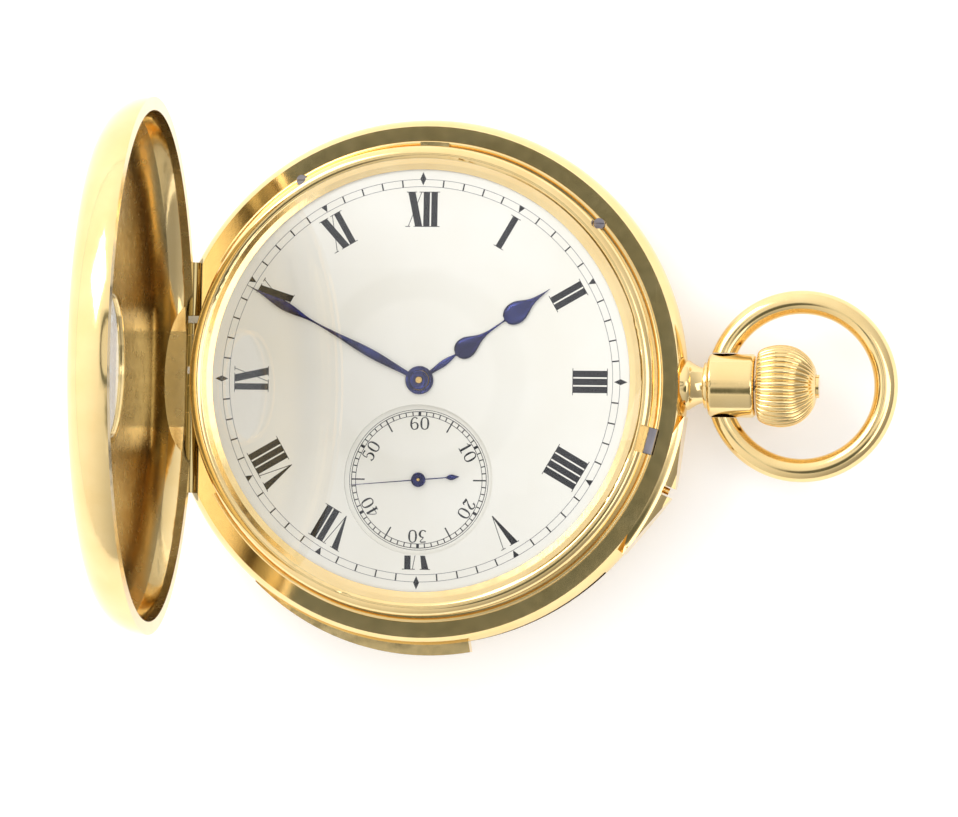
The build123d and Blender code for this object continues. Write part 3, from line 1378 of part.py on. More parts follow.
def click():
    pivot = polar(RATCHET_TIP_R + CLICK_REACH, CLICK_AT, BARREL)
    nose = polar(RATCHET_TIP_R + CLICK_R / 2 + FREE, CLICK_AT - CLICK_LEAN, BARREL)
    body = disc(CLICK_R, KEYLESS_LOW, KEYLESS_HIGH, pivot)
    body += bar(pivot, nose, CLICK_R, KEYLESS_LOW, KEYLESS_HIGH)
    return body - disc(CLICK_POST_R + RUN, KEYLESS_LOW - OVER, KEYLESS_HIGH + OVER, pivot)


# Motion work, dial and hands


def cannon_pinion():
    tube = disc(CANNON_R, MAIN_HIGH - FREE / 2, MINUTE_HAND_Z, CENTRE)
    tube += toothed(CANNON_LEAVES, CANNON_MODULE, MOTION_LOW, MOTION_HIGH, CENTRE, 0)
    return tube - disc(ARBOR_R + FIT, MAIN_HIGH - OVER, MINUTE_HAND_Z + OVER, CENTRE)


def minute_wheel():
    aim = 180 + half_pitch(MINUTE_TEETH)
    wheel = toothed(MINUTE_TEETH, CANNON_MODULE, MOTION_LOW, MOTION_HIGH, MINUTE_WHEEL, aim)
    wheel += toothed(MINUTE_LEAVES, HOUR_MODULE, MOTION_HIGH, HOUR_HIGH + SLIP, MINUTE_WHEEL, 180)
    return wheel - disc(CANNON_BORE_R + RUN, MOTION_LOW - OVER, HOUR_HIGH + OVER, MINUTE_WHEEL)


def setting_wheel():
    """The minute wheel, its teeth even in number, has a gap on the side that meets this one."""
    wheel = toothed(SETTING_TEETH, CANNON_MODULE, MOTION_LOW, MOTION_HIGH, SETTING_WHEEL, 180)
    return wheel - disc(CANNON_BORE_R + RUN, MOTION_LOW - OVER, MOTION_HIGH + OVER, SETTING_WHEEL)


def hour_wheel():
    wheel = toothed(HOUR_TEETH, HOUR_MODULE, HOUR_LOW, HOUR_HIGH, CENTRE, half_pitch(HOUR_TEETH))
    wheel += disc(HOUR_TUBE_R, HOUR_LOW, HOUR_HAND_Z + HAND_THICK, CENTRE)
    return wheel - disc(CANNON_R + RUN, HOUR_LOW - OVER, HOUR_HAND_Z + OVER, CENTRE)


def dial():
    plate = disc(DIAL_R, DIAL_LOW, DIAL_TOP) - disc(DIAL_BORE_R, DIAL_LOW - OVER, DIAL_TOP + OVER)
    return plate - disc(SUNK_R, DIAL_LOW - OVER, DIAL_TOP + OVER, FOURTH)


def seconds_dial():
    low = DIAL_LOW - SUNK_THICK
    return ring(SUNK_R + SUNK_RIM, PIVOT_R + SLIP, low, DIAL_LOW, FOURTH)


def leaf(start, middle, end, width, low):
    """A flat leaf along X, widest at its middle point."""
    sides = Spline((start, 0), (middle, width / 2), (end, 0))
    sides += Spline((start, 0), (middle, -width / 2), (end, 0))
    return Pos(0, 0, low) * extrude(make_face(sides), HAND_THICK)


def aimed(hand, clockwise, centre):
    """Turn a hand that points along X to its place on the dial."""
    return Pos(centre[0], centre[1], 0) * Rot(0, 0, 90 - clockwise) * hand


def hour_hand():
    z = HOUR_HAND_Z
    hand = disc(HOUR_HUB_R, z, z + HAND_THICK)
    hand += span_box(0, HOUR_HAND_LONG * 2 / 3, -HAND_STALK / 2, HAND_STALK / 2, z, z + HAND_THICK)
    for shares in HOUR_SPADE_SHARES:
        hand += leaf(*[HOUR_HAND_LONG * share for share in shares], HOUR_SPADE_WIDTH, z)
    hand -= disc(HOUR_TUBE_R + FIT, z - OVER, z + OVER)
    return aimed(hand, HOUR_HAND_AT, CENTRE)


def minute_hand():
    z = MINUTE_HAND_Z
    hand = disc(MINUTE_HUB_R, z, z + HAND_THICK)
    hand += span_box(0, MINUTE_HAND_LONG * 2 / 3, -HAND_STALK / 2, HAND_STALK / 2, z, z + HAND_THICK)
    for shares in MINUTE_SWELL_SHARES:
        hand += leaf(*[MINUTE_HAND_LONG * share for share in shares], MINUTE_SWELL_WIDTH, z)
    hand -= disc(ARBOR_R + FIT, z - OVER, z + OVER)
    return aimed(hand, MINUTE_HAND_AT, CENTRE)


def seconds_hand():
    z = SECONDS_HAND_Z
    hand = disc(SECONDS_HUB_R, z, z + HAND_THICK)
    half = SECONDS_WIDTH / 2
    end = SECONDS_HAND_LONG
    taper = Polyline((0, -half), (end, -half / 3), (end, half / 3), (0, half), close=True)
    hand += Pos(0, 0, z) * extrude(make_face(taper), HAND_THICK)
    hand += span_box(-SECONDS_TAIL_LONG / 2, 0, -half / 2, half / 2, z, z + HAND_THICK)
    hand += leaf(*[-SECONDS_TAIL_LONG * share for share in SECONDS_TAIL_SHARES], 2 * SECONDS_WIDTH, z)
    hand -= disc(PIVOT_R + FIT, z - OVER, z + OVER)
    return aimed(hand, SECONDS_HAND_AT, FOURTH)


def hammer(index):
    """A hammer lying beside the gong of its own height."""
    pivot, head = hammer_spots(HAMMER_AT[index])
    low = GONG_HEIGHTS[index] - HAMMER_THICK / 2
    high = low + HAMMER_THICK
    body = disc(HAMMER_HEAD_R, low, high, head)
    body += disc(HAMMER_EYE_R, low, high, pivot)
    body += bar(pivot, head, HAMMER_ARM, low, high)
    return body - disc(HAMMER_POST_R + RUN, low - OVER, high + OVER, pivot)


PARTS = {
    "case_band": case_band(),
    "pendant": pendant(),
    "stem_bush": stem_bush(),
    "bow": bow(),
    "crown": crown(),
    "crown_button": crown_button(),
    "winding_stem": winding_stem(),
    "winding_pinion": winding_pinion(),
    "lid_shell": lid_shell(),
    "lid_window_glass": lid_window_glass(),
    "lid_window_ring": lid_window_ring(),
    "lid_hinge_pin": y_rod(HINGE_PIN_R, HINGE_LOW + RUN, HINGE_HIGH - RUN, HINGE_X, HINGE_Z),
    "back_cover": back_cover(),
    "back_hinge_pin": y_rod(SMALL_PIN_R, -BACK_HINGE_HALF, BACK_HINGE_HALF, BACK_HINGE_X, BACK_Z),
    "cuvette": cuvette(),
    "cuvette_hinge_pin": y_rod(
        SMALL_PIN_R, -CUVETTE_HINGE_HALF, CUVETTE_HINGE_HALF, CUVETTE_HINGE_X, CUVETTE_HINGE_Z
    ),
    "bezel": bezel(),
    "crystal": crystal(),
    "lock_spring": lock_spring(),
    "fly_spring": fly_spring(),
    "dog_screws": dog_screws(),
    "repeater_slide": repeater_slide(),
    "set_pin": set_pin(),
    "dial": dial(),
    "seconds_dial": seconds_dial(),
    "hour_hand": hour_hand(),
    "minute_hand": minute_hand(),
    "seconds_hand": seconds_hand(),
    "mainplate": mainplate(),
    "three_quarter_plate": three_quarter_plate(),
    "pillars": pillars(),
    "plate_screws": plate_screws(),
    "cock_screw": cock_screw(),
    "jewels": jewels(),
    "barrel": barrel(),
    "barrel_arbor": barrel_arbor(),
    "mainspring": mainspring(),
    "centre_wheel": centre_wheel(),
    "third_wheel": third_wheel(),
    "fourth_wheel": fourth_wheel(),
    "escape_wheel": escape_wheel(),
    "pallet_lever": pallet_lever(),
    "lever_cock": lever_cock(),
    "balance_wheel": balance_wheel(),
    "hairspring": hairspring(),
    "balance_cock": balance_cock(),
    "crown_wheel": crown_wheel(),
    "ratchet_wheel": ratchet_wheel(),
    "click": click(),
    "cannon_pinion": cannon_pinion(),
    "minute_wheel": minute_wheel(),
    "setting_wheel": setting_wheel(),
    "hour_wheel": hour_wheel(),
    "gongs": gongs(),
    "gong_block": gong_block(),
    "hour_hammer": hammer(0),
    "minute_hammer": hammer(1),
}

for part_name, part_shape in PARTS.items():
    save(part_name, part_shape)
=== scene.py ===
import math

import bpy
from mathutils import Matrix, Vector


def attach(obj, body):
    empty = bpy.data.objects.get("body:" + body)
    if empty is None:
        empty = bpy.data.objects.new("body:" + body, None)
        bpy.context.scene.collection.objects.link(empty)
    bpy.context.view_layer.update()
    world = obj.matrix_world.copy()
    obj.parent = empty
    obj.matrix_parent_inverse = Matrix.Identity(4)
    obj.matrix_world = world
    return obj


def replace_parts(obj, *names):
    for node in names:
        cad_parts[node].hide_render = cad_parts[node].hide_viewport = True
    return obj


MM = 0.001

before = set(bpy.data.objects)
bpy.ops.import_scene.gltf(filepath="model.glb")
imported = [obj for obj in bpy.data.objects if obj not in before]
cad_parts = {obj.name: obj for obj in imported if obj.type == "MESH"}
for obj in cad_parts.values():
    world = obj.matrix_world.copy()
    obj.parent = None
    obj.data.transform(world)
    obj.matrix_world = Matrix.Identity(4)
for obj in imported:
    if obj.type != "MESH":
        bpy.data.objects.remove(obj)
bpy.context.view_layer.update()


# Nodes and materials


def linear(red, green, blue):
    """A linear colour from one written as 0 to 255 for a screen."""
    shares = [v / 255 for v in (red, green, blue)]
    return tuple(s / 12.92 if s < 0.04045 else ((s + 0.055) / 1.055) ** 2.4 for s in shares)


class Nodes:
    """Adds nodes to a tree. A socket takes a fixed value or the output of another node."""

    def __init__(self, tree):
        self.tree = tree

    def find(self, kind):
        return next(n for n in self.tree.nodes if n.type == kind)

    def feed(self, socket, value):
        if isinstance(value, bpy.types.NodeSocket):
            self.tree.links.new(value, socket)
        else:
            socket.default_value = value

    def fill(self, node, sockets):
        """Feeds a node's sockets by name, with _ for each space."""
        for name, value in sockets.items():
            self.feed(node.inputs[name.replace("_", " ")], value)
        return node

    def add(self, kind, **sockets):
        return self.fill(self.tree.nodes.new("ShaderNode" + kind), sockets)

    def number(self, operation, *values):
        """The result of a Math node."""
        node = self.add("Math")
        node.operation = operation
        for socket, value in zip(node.inputs, values):
            self.feed(socket, value)
        return node.outputs["Value"]

    def vector(self, operation, *values, **sockets):
        """The result of a Vector Math node, which is a number for some operations."""
        node = self.add("VectorMath")
        node.operation = operation
        for socket, value in zip(node.inputs, values):
            self.feed(socket, value)
        self.fill(node, sockets)
        to_number = operation in ("DOT_PRODUCT", "LENGTH", "DISTANCE")
        return node.outputs["Value" if to_number else "Vector"]


class Look(Nodes):
    """A material with its principled shader."""

    def __init__(self, name):
        self.material = bpy.data.materials.new(name)
        self.material.use_nodes = True
        super().__init__(self.material.node_tree)
        self.shader = self.find("BSDF_PRINCIPLED")
        coordinates = self.add("TexCoord").outputs
        self.place = coordinates["Object"]
        self.normal = coordinates["Normal"]

    def noise(self, scale, detail, stretch=None):
        place = self.place
        if stretch:
            place = self.add("Mapping", Vector=place, Scale=stretch).outputs["Vector"]
        return self.add("TexNoise", Vector=place, Scale=scale, Detail=detail).outputs["Fac"]

    def ramp(self, source, low, high, first, second):
        """A value or colour that runs from first at low to second at high."""
        node = self.add("ValToRGB", Fac=source)
        for element, position, shade in zip(
            node.color_ramp.elements, (low, high), (first, second)
        ):
            element.position = position
            element.color = (*shade, 1) if isinstance(shade, tuple) else (shade, shade, shade, 1)
        return node.outputs["Color"]

    def set(self, **sockets):
        self.fill(self.shader, sockets)

    def source(self, name):
        """What feeds a socket of the shader so far."""
        return self.shader.inputs[name].links[0].from_socket

    def bump(self, height, strength, distance):
        """Adds a relief to those that are already there."""
        node = self.add("Bump", Strength=strength, Distance=distance, Height=height)
        if self.shader.inputs["Normal"].is_linked:
            self.feed(node.inputs["Normal"], self.source("Normal"))
        self.set(Normal=node.outputs["Normal"])

    def tint(self, factor, colour):
        """Lays a colour over the base colour where the factor is one."""
        mix = self.add("Mix")
        mix.data_type = "RGBA"
        below, above = (s for s in mix.inputs if s.type == "RGBA")
        self.feed(next(s for s in mix.inputs if s.type == "VALUE"), factor)
        self.feed(below, self.source("Base Color"))
        self.feed(above, colour)
        self.set(Base_Color=next(s for s in mix.outputs if s.type == "RGBA"))

    def choose(self, factor, first, second):
        """A node that mixes two shader nodes."""
        mix = self.add("MixShader", Fac=factor)
        for socket, node in zip(mix.inputs[1:], (first, second)):
            self.feed(socket, node.outputs[0])
        return mix

    def show(self, node):
        """Makes another shader node the surface."""
        self.feed(self.find("OUTPUT_MATERIAL").inputs["Surface"], node.outputs[0])


def metal(name, light, dark, rough, scratch=0.08, dent=0.11, cloud=260.0):
    """Metal with cloudy wear, hairline scratches, soft dents and a slight change of tone."""
    look = Look(name)
    look.set(
        Metallic=1.0,
        Base_Color=look.ramp(look.noise(cloud, detail=4.0), 0.35, 0.7, dark, light),
        Roughness=look.ramp(look.noise(cloud * 3.1, detail=5.0), 0.3, 0.75, *rough),
    )
    hair = look.noise(5200.0, detail=2.0, stretch=(1.0, 0.12, 1.0))
    look.bump(hair, scratch, distance=0.00002)
    look.bump(look.noise(170.0, detail=1.0), dent, distance=0.00008)
    return look


def lid_gold(name, centre, axis, rim_r, light, dark, blur):
    """Polished gold that is rougher inside the lid, where it is also tinted a darker, greener gold
    as painted shade and reflection; the inside is told by its own place and normal.
    """
    look = metal(name, GOLD_LIGHT, GOLD_DARK, GOLD_ROUGH)
    offset = look.vector("SUBTRACT", look.place, centre)
    along = look.vector("SCALE", axis, Scale=look.vector("DOT_PRODUCT", offset, axis))
    outward = look.vector("SUBTRACT", offset, along)
    inward = look.vector("SUBTRACT", axis, look.vector("NORMALIZE", outward))
    facing = look.vector("DOT_PRODUCT", look.normal, inward)
    inside = look.number(
        "MULTIPLY",
        look.number("GREATER_THAN", facing, 0.1),
        look.number("LESS_THAN", look.vector("LENGTH", outward), rim_r),
    )
    # the unpolished inside also blurs what it mirrors
    look.set(Roughness=look.number("MULTIPLY_ADD", inside, blur, look.source("Roughness")))
    # painted shade and reflection: the inside of the lid is tinted a darker, greener gold
    look.tint(inside, look.ramp(look.noise(300.0, detail=2.0), 0.0, 1.0, dark, light))
    return look


def hinge_wear(look, axis_x, axis_z, reach, colour):
    """Tints what lies within a reach of an axis along Y a darker, duller gold: painted shade on the
    hinge knuckles.
    """
    flat = look.vector("MULTIPLY", look.place, (1, 0, 1))
    gap = look.vector("DISTANCE", flat, (axis_x, 0, axis_z))
    look.tint(look.number("LESS_THAN", gap, reach), (*colour, 1))


def enamel(name, pale, shade):
    """Fired white enamel: faint clouds, a soft orange-peel surface and a glassy coat."""
    look = Look(name)
    look.set(
        Coat_Weight=0.6, Coat_Roughness=0.06, Specular_IOR_Level=0.4,
        Base_Color=look.ramp(look.noise(95.0, detail=3.0), 0.3, 0.75, shade, pale),
        Roughness=look.ramp(look.noise(900.0, detail=2.0), 0.3, 0.8, 0.28, 0.4),
    )
    look.bump(look.noise(420.0, detail=2.0), strength=0.06, distance=0.00003)
    return look


def ink(name, dark, light):
    """Fired paint, slightly uneven."""
    look = Look(name)
    cover = look.noise(2600.0, detail=4.0)
    look.set(
        Specular_IOR_Level=0.2,
        Base_Color=look.ramp(cover, 0.3, 0.8, dark, light),
        Roughness=look.ramp(cover, 0.2, 0.8, 0.45, 0.65),
    )
    return look


def glass(name, tint):
    """Clear glass that lets the light through to what lies behind it."""
    look = Look(name)
    look.set(
        Base_Color=(*tint, 1), Transmission_Weight=1.0, IOR=1.46,
        Roughness=look.ramp(look.noise(130.0, detail=3.0), 0.3, 0.8, 0.0, 0.03),
    )
    path = look.add("LightPath").outputs
    unseen = look.number("MAXIMUM", path["Is Shadow Ray"], path["Is Diffuse Ray"])
    clear = look.add("BsdfTransparent", Color=(*tint, 1))
    look.show(look.choose(unseen, look.shader, clear))
    return look


def ruby(name, dark, light):
    """Red stone that some light goes through."""
    look = Look(name)
    depth = look.noise(1500.0, detail=2.0)
    look.set(
        Transmission_Weight=0.4, IOR=1.76,
        Base_Color=look.ramp(depth, 0.3, 0.7, dark, light),
        Roughness=look.ramp(depth, 0.2, 0.8, 0.05, 0.15),
    )
    return look


GOLD_LIGHT = linear(247, 219, 160)
GOLD_DARK = linear(243, 212, 149)
GOLD_ROUGH = (0.07, 0.16)

# A point on the lid's axis in metres, as it stands open at rest, and the way its inside faces
LID_CENTRE = (-0.02275, 0.0, 0.03277)
LID_INWARD = (0.9976, 0.0, -0.0698)

gold = metal("polished_gold", GOLD_LIGHT, GOLD_DARK, GOLD_ROUGH)
gold_seat = metal("satin_gold", GOLD_LIGHT, GOLD_DARK, (0.07, 0.09), scratch=0.04, dent=0.01)
# the light and dark tones of the inside of the lid are painted shade and reflection
gold_lid = lid_gold(
    "lid_gold", LID_CENTRE, LID_INWARD, rim_r=0.02475,
    light=linear(206, 184, 132), dark=linear(176, 156, 108), blur=0.14,
)
# painted shade on the hinge knuckles of the case band and the lid
for shell in (gold_seat, gold_lid):
    hinge_wear(shell, axis_x=-0.024, axis_z=0.0088, reach=0.00085, colour=linear(150, 134, 94))
gold_inner = metal("inner_gold", linear(244, 212, 150), linear(234, 196, 128), (0.1, 0.22), 0.12)
steel = metal("polished_steel", linear(190, 190, 192), linear(150, 150, 155), (0.15, 0.35), 0.15)
dull_steel = metal("grey_steel", linear(176, 172, 178), linear(126, 122, 130), (0.3, 0.5), 0.15)
blued = metal("blued_steel", linear(56, 62, 118), linear(34, 34, 72), (0.16, 0.3), 0.1, cloud=420.0)
gilt = metal("gilt_brass", linear(226, 190, 120), linear(206, 166, 96), (0.22, 0.38), 0.2)
white = enamel("white_enamel", linear(235, 232, 223), linear(230, 226, 214))
black = ink("fired_black", linear(9, 9, 13), linear(22, 20, 30))
hairline = ink("fired_grey", linear(74, 72, 82), linear(104, 102, 112))
clear_glass = glass("crystal_glass", (0.99, 0.995, 1.0))
red_stone = ruby("ruby", linear(120, 10, 30), linear(190, 30, 60))

# The CAD nodes that wear each look
LOOKS = {
    gold: ("pendant bow crown crown_button lid_window_ring bezel repeater_slide set_pin"
           " back_cover"),
    gold_lid: "lid_shell",
    gold_seat: "case_band",
    gold_inner: "cuvette",
    steel: ("fly_spring lid_hinge_pin back_hinge_pin cuvette_hinge_pin stem_bush winding_stem"
            " winding_pinion plate_screws cock_screw barrel_arbor pallet_lever crown_wheel"
            " ratchet_wheel click cannon_pinion gongs gong_block hour_hammer minute_hammer"
            " hairspring mainspring"),
    dull_steel: "lock_spring dog_screws",
    gilt: ("mainplate three_quarter_plate pillars barrel centre_wheel third_wheel fourth_wheel"
           " escape_wheel lever_cock balance_wheel balance_cock minute_wheel setting_wheel"
           " hour_wheel"),
    white: "dial seconds_dial",
    blued: "hour_hand minute_hand seconds_hand",
    clear_glass: "crystal lid_window_glass",
    red_stone: "jewels",
}

for look, names in LOOKS.items():
    for name in names.split():
        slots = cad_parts[name].data.materials
        slots.clear()
        slots.append(look.material)


# Mesh helpers, in millimetres

# Height of the axis that the stem, the crown, the pendant and the bow share
STEM_Z = 6.2


def piece(name, points, faces, look, body, smooth=True):
    """A mesh piece from points in millimetres, riding on a CAD body."""
    mesh = bpy.data.meshes.new(name)
    mesh.from_pydata([Vector(p) * MM for p in points], [], faces)
    mesh.validate()
    mesh.update()
    for face in mesh.polygons:
        face.use_smooth = smooth
    obj = bpy.data.objects.new(name, mesh)
    bpy.context.scene.collection.objects.link(obj)
    mesh.materials.append(look.material)
    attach(obj, body)
    return obj


def curve_through(knots, steps):
    """More points on a smooth line through knots of any number of values."""
    ends = [knots[0], *knots, knots[-1]]
    line = []
    for a, b, c, d in zip(ends, ends[1:], ends[2:], ends[3:]):
        for step in range(steps):
            t = step / steps
            line.append(tuple(
                q + 0.5 * t * (r - p + t * (2 * p - 5 * q + 4 * r - s + t * (3 * (q - r) + s - p)))
                for p, q, r, s in zip(a, b, c, d)
            ))
    return line + [tuple(knots[-1])]


def angles(steps):
    """The angles of one turn."""
    return [2 * math.pi * step / steps for step in range(steps)]


def stem_ring(x, radius, steps):
    """Points round the stem's axis."""
    return [(x, radius * math.cos(a), STEM_Z + radius * math.sin(a)) for a in angles(steps)]


def ring_faces(first, second, steps, flip=False):
    """Faces from one ring of points to another, each told by its first point."""
    faces = []
    for step in range(steps):
        following = (step + 1) % steps
        a, b, c, d = first + step, first + following, second + following, second + step
        faces.append((a, d, c, b) if flip else (a, b, c, d))
    return faces


def box(left, low, right, high):
    return [(left, low), (right, low), (right, high), (left, high)]


class Print:
    """Flat marks on a dial, gathered into one mesh."""

    def __init__(self, height, centre=(0, 0)):
        self.height = height
        self.centre = centre
        self.points = []
        self.faces = []

    def shape(self, outline):
        start = len(self.points)
        self.points += [(x, y, self.height) for x, y in outline]
        self.faces.append(tuple(range(start, start + len(outline))))

    def at(self, minutes, shapes):
        """Shapes with x across and y outwards from the centre, at a place of sixty."""
        angle = math.radians(minutes * 6)
        sin, cos = math.sin(angle), math.cos(angle)
        for outline in shapes:
            self.shape([
                (self.centre[0] + x * cos + y * sin, self.centre[1] - x * sin + y * cos)
                for x, y in outline
            ])

    def circle(self, radius, width, steps):
        corners = []
        for step in range(steps + 1):
            angle = 2 * math.pi * step / steps
            sin, cos = math.sin(angle), math.cos(angle)
            corners.append([
                (self.centre[0] + reach * sin, self.centre[1] + reach * cos)
                for reach in (radius - width / 2, radius + width / 2)
            ])
        for (a, b), (d, c) in zip(corners, corners[1:]):
            self.shape([a, b, c, d])

    def done(self, name, look):
        return piece(name, self.points, self.faces, look, "case", smooth=False)


# Dial: roman numerals, minute track and markers

PRINT_RISE = 0.012
DIAL_Z = 10.7 + PRINT_RISE
NUMERAL_LOW, NUMERAL_HIGH = 15.6, 19.1
STROKE, GAP, HAIR = 0.64, 0.16, 0.07
SERIF_REACH = 0.26

# Each sign has its advance, its strokes as (left at the top, left at the foot, width at the
# top, width at the foot), and its serifs as (left, right, level)
SIGNS = {
    "I": (STROKE, [(0, 0, STROKE, STROKE)], []),
    "V": (1.69, [(0, 0.98, 0.72, 0.1), (1.62, 0.98, HAIR, HAIR)],
          [(-0.16, 0.9, NUMERAL_HIGH), (1.4, 1.9, NUMERAL_HIGH)]),
    "X": (1.43, [(0, 0.75, 0.74, 0.74), (1.36, 0.02, HAIR, HAIR)],
          [(-0.16, 0.9, NUMERAL_HIGH), (1.15, 1.6, NUMERAL_HIGH),
           (-0.25, 0.25, NUMERAL_LOW), (0.6, 1.62, NUMERAL_LOW)]),
}


def serif(left, right, level):
    return box(left, level - HAIR / 2, right, level + HAIR / 2)


def numeral(text):
    """The shapes of a roman numeral, centred."""
    left = -(sum(SIGNS[c][0] for c in text) + GAP * (len(text) - 1)) / 2
    shapes = []
    for count, char in enumerate(text):
        advance, strokes, serifs = SIGNS[char]
        for top, foot, top_width, foot_width in strokes:
            shapes.append([
                (left + foot, NUMERAL_LOW), (left + foot + foot_width, NUMERAL_LOW),
                (left + top + top_width, NUMERAL_HIGH), (left + top, NUMERAL_HIGH),
            ])
        shapes += [serif(left + start, left + end, level) for start, end, level in serifs]
        if char == "I":
            # serifs join those of a neighbour that is an I as well
            before = SERIF_REACH if count == 0 or text[count - 1] != "I" else GAP
            after = SERIF_REACH if count == len(text) - 1 or text[count + 1] != "I" else GAP
            for level in (NUMERAL_LOW, NUMERAL_HIGH):
                shapes.append(serif(left - before * 0.9, left + advance + after * 0.9, level))
        left += advance + GAP
    return shapes


def above(shapes, level):
    """What of some outlines lies beyond a level."""
    kept = []
    for outline in shapes:
        if max(y for _, y in outline) <= level:
            continue
        clipped = []
        for (x0, y0), (x1, y1) in zip(outline, outline[1:] + outline[:1]):
            if y0 >= level:
                clipped.append((x0, y0))
            if (y0 - level) * (y1 - level) < 0:
                share = (level - y0) / (y1 - y0)
                clipped.append((x0 + (x1 - x0) * share, level))
        kept.append(clipped)
    return kept


HOURS = ("I", "II", "III", "IIII", "V", "VI", "VII", "VIII", "IX", "X", "XI", "XII")
SUNK_CUT = 17.72  # the numeral at six ends here, at the edge of the seconds dial
TRACK_IN, TRACK_OUT = 19.65, 20.38
QUARTER_MARK = [(-0.3, 20.45), (0, 19.78), (0.3, 20.45), (0, 21.14)]
HOUR_MARK = [(-0.32, TRACK_OUT), (0, TRACK_IN), (0.32, TRACK_OUT)]
MINUTE_MARK = box(-0.07, TRACK_IN, 0.07, TRACK_OUT)

marks = Print(DIAL_Z)
for hour, text in enumerate(HOURS, 1):
    shapes = numeral(text)
    marks.at(hour * 5, above(shapes, SUNK_CUT) if text == "VI" else shapes)
for minute in range(60):
    mark = QUARTER_MARK if minute % 15 == 0 else HOUR_MARK if minute % 5 == 0 else MINUTE_MARK
    marks.at(minute, [mark])
marks.done("dial_marks", black)

track = Print(DIAL_Z)
for radius in (TRACK_IN, TRACK_OUT):
    track.circle(radius, width=0.045, steps=240)
track.done("dial_track", hairline)


# Seconds dial: track, ticks and figures

SECONDS_AT = (0, -10.05)
SUNK_Z = 10.2 + PRINT_RISE
SECONDS_IN, SECONDS_OUT = 6.48, 6.9
SECONDS_RINGS = ((7.1, 0.05), (SECONDS_OUT, 0.07), (SECONDS_IN, 0.06))
LONG_TICK = box(-0.07, 5.55, 0.07, SECONDS_OUT)
BOLD_TICK = box(-0.14, SECONDS_IN, 0.14, SECONDS_OUT)
TICK = box(-0.055, SECONDS_IN, 0.055, SECONDS_OUT)

# Figures as pen strokes: each is a line of (x, y, width) in a box one high
FIGURES = {
    "0": [[(0.34, 0.0, 0.05), (0.12, 0.12, 0.08), (0.05, 0.5, 0.12), (0.12, 0.88, 0.08),
           (0.34, 1.0, 0.05), (0.56, 0.88, 0.08), (0.63, 0.5, 0.12), (0.56, 0.12, 0.08),
           (0.34, 0.0, 0.05)]],
    "1": [[(0.12, 0.8, 0.04), (0.3, 0.9, 0.05), (0.38, 1.0, 0.1), (0.38, 0.5, 0.13),
           (0.38, 0.02, 0.13)],
          [(0.14, 0.02, 0.05), (0.62, 0.02, 0.05)]],
    "2": [[(0.1, 0.74, 0.12), (0.16, 0.92, 0.07), (0.34, 1.0, 0.05), (0.54, 0.9, 0.1),
           (0.56, 0.72, 0.12), (0.42, 0.48, 0.09), (0.2, 0.22, 0.05), (0.08, 0.05, 0.06)],
          [(0.08, 0.06, 0.1), (0.3, 0.08, 0.13), (0.5, 0.03, 0.1), (0.6, 0.18, 0.04)]],
    "3": [[(0.1, 0.95, 0.07), (0.56, 0.95, 0.06), (0.3, 0.6, 0.05), (0.5, 0.54, 0.08),
           (0.6, 0.32, 0.13), (0.5, 0.08, 0.09), (0.3, 0.0, 0.05), (0.1, 0.1, 0.1)]],
    "4": [[(0.44, 1.0, 0.05), (0.06, 0.3, 0.04), (0.66, 0.3, 0.05)],
          [(0.46, 0.98, 0.12), (0.46, 0.5, 0.13), (0.46, 0.02, 0.13)],
          [(0.3, 0.02, 0.05), (0.64, 0.02, 0.05)]],
    "5": [[(0.56, 0.95, 0.09), (0.18, 0.95, 0.06), (0.14, 0.55, 0.05), (0.34, 0.62, 0.05),
           (0.54, 0.52, 0.09), (0.61, 0.32, 0.13), (0.52, 0.08, 0.09), (0.3, 0.0, 0.05),
           (0.09, 0.12, 0.11)]],
    "6": [[(0.56, 0.88, 0.09), (0.38, 1.0, 0.05), (0.14, 0.84, 0.08), (0.06, 0.45, 0.12),
           (0.14, 0.1, 0.08), (0.34, 0.0, 0.05), (0.56, 0.1, 0.09), (0.62, 0.3, 0.11),
           (0.54, 0.5, 0.08), (0.34, 0.57, 0.05), (0.14, 0.46, 0.05)]],
}
FIGURE_HIGH, FIGURE_LOW = 1.22, 5.1
FIGURE_ADVANCE, FIGURE_INDENT = 0.86, 0.09
PEN = 1.4


def pen(line):
    """Four-sided shapes along a line of (x, y, width)."""
    sides = []
    for count, (x, y, width) in enumerate(line):
        before = line[max(count - 1, 0)]
        after = line[min(count + 1, len(line) - 1)]
        dx, dy = after[0] - before[0], after[1] - before[1]
        length = math.hypot(dx, dy) or 1
        across = (-dy / length * width / 2, dx / length * width / 2)
        sides.append(((x + across[0], y + across[1]), (x - across[0], y - across[1])))
    return [[a[0], a[1], b[1], b[0]] for a, b in zip(sides, sides[1:])]


def figures(text):
    """The shapes of a number of two figures, centred across its place of sixty."""
    shapes = []
    for place, char in enumerate(text):
        offset = (place - 1) * FIGURE_ADVANCE + FIGURE_INDENT
        for knots in FIGURES[char]:
            line = [(x, y, width * PEN) for x, y, width in knots]
            for outline in pen(curve_through(line, 5) if len(line) > 2 else line):
                shapes.append([
                    ((x + offset) * FIGURE_HIGH, FIGURE_LOW + y * FIGURE_HIGH)
                    for x, y in outline
                ])
    return shapes


small = Print(SUNK_Z, SECONDS_AT)
for radius, width in SECONDS_RINGS:
    small.circle(radius, width, steps=160)
for second in range(60):
    tick = LONG_TICK if second % 10 == 5 else BOLD_TICK if second % 10 == 0 else TICK
    small.at(second, [tick])
for number in range(10, 70, 10):
    small.at(number, figures(str(number)))
small.done("seconds_marks", black)


# Hands

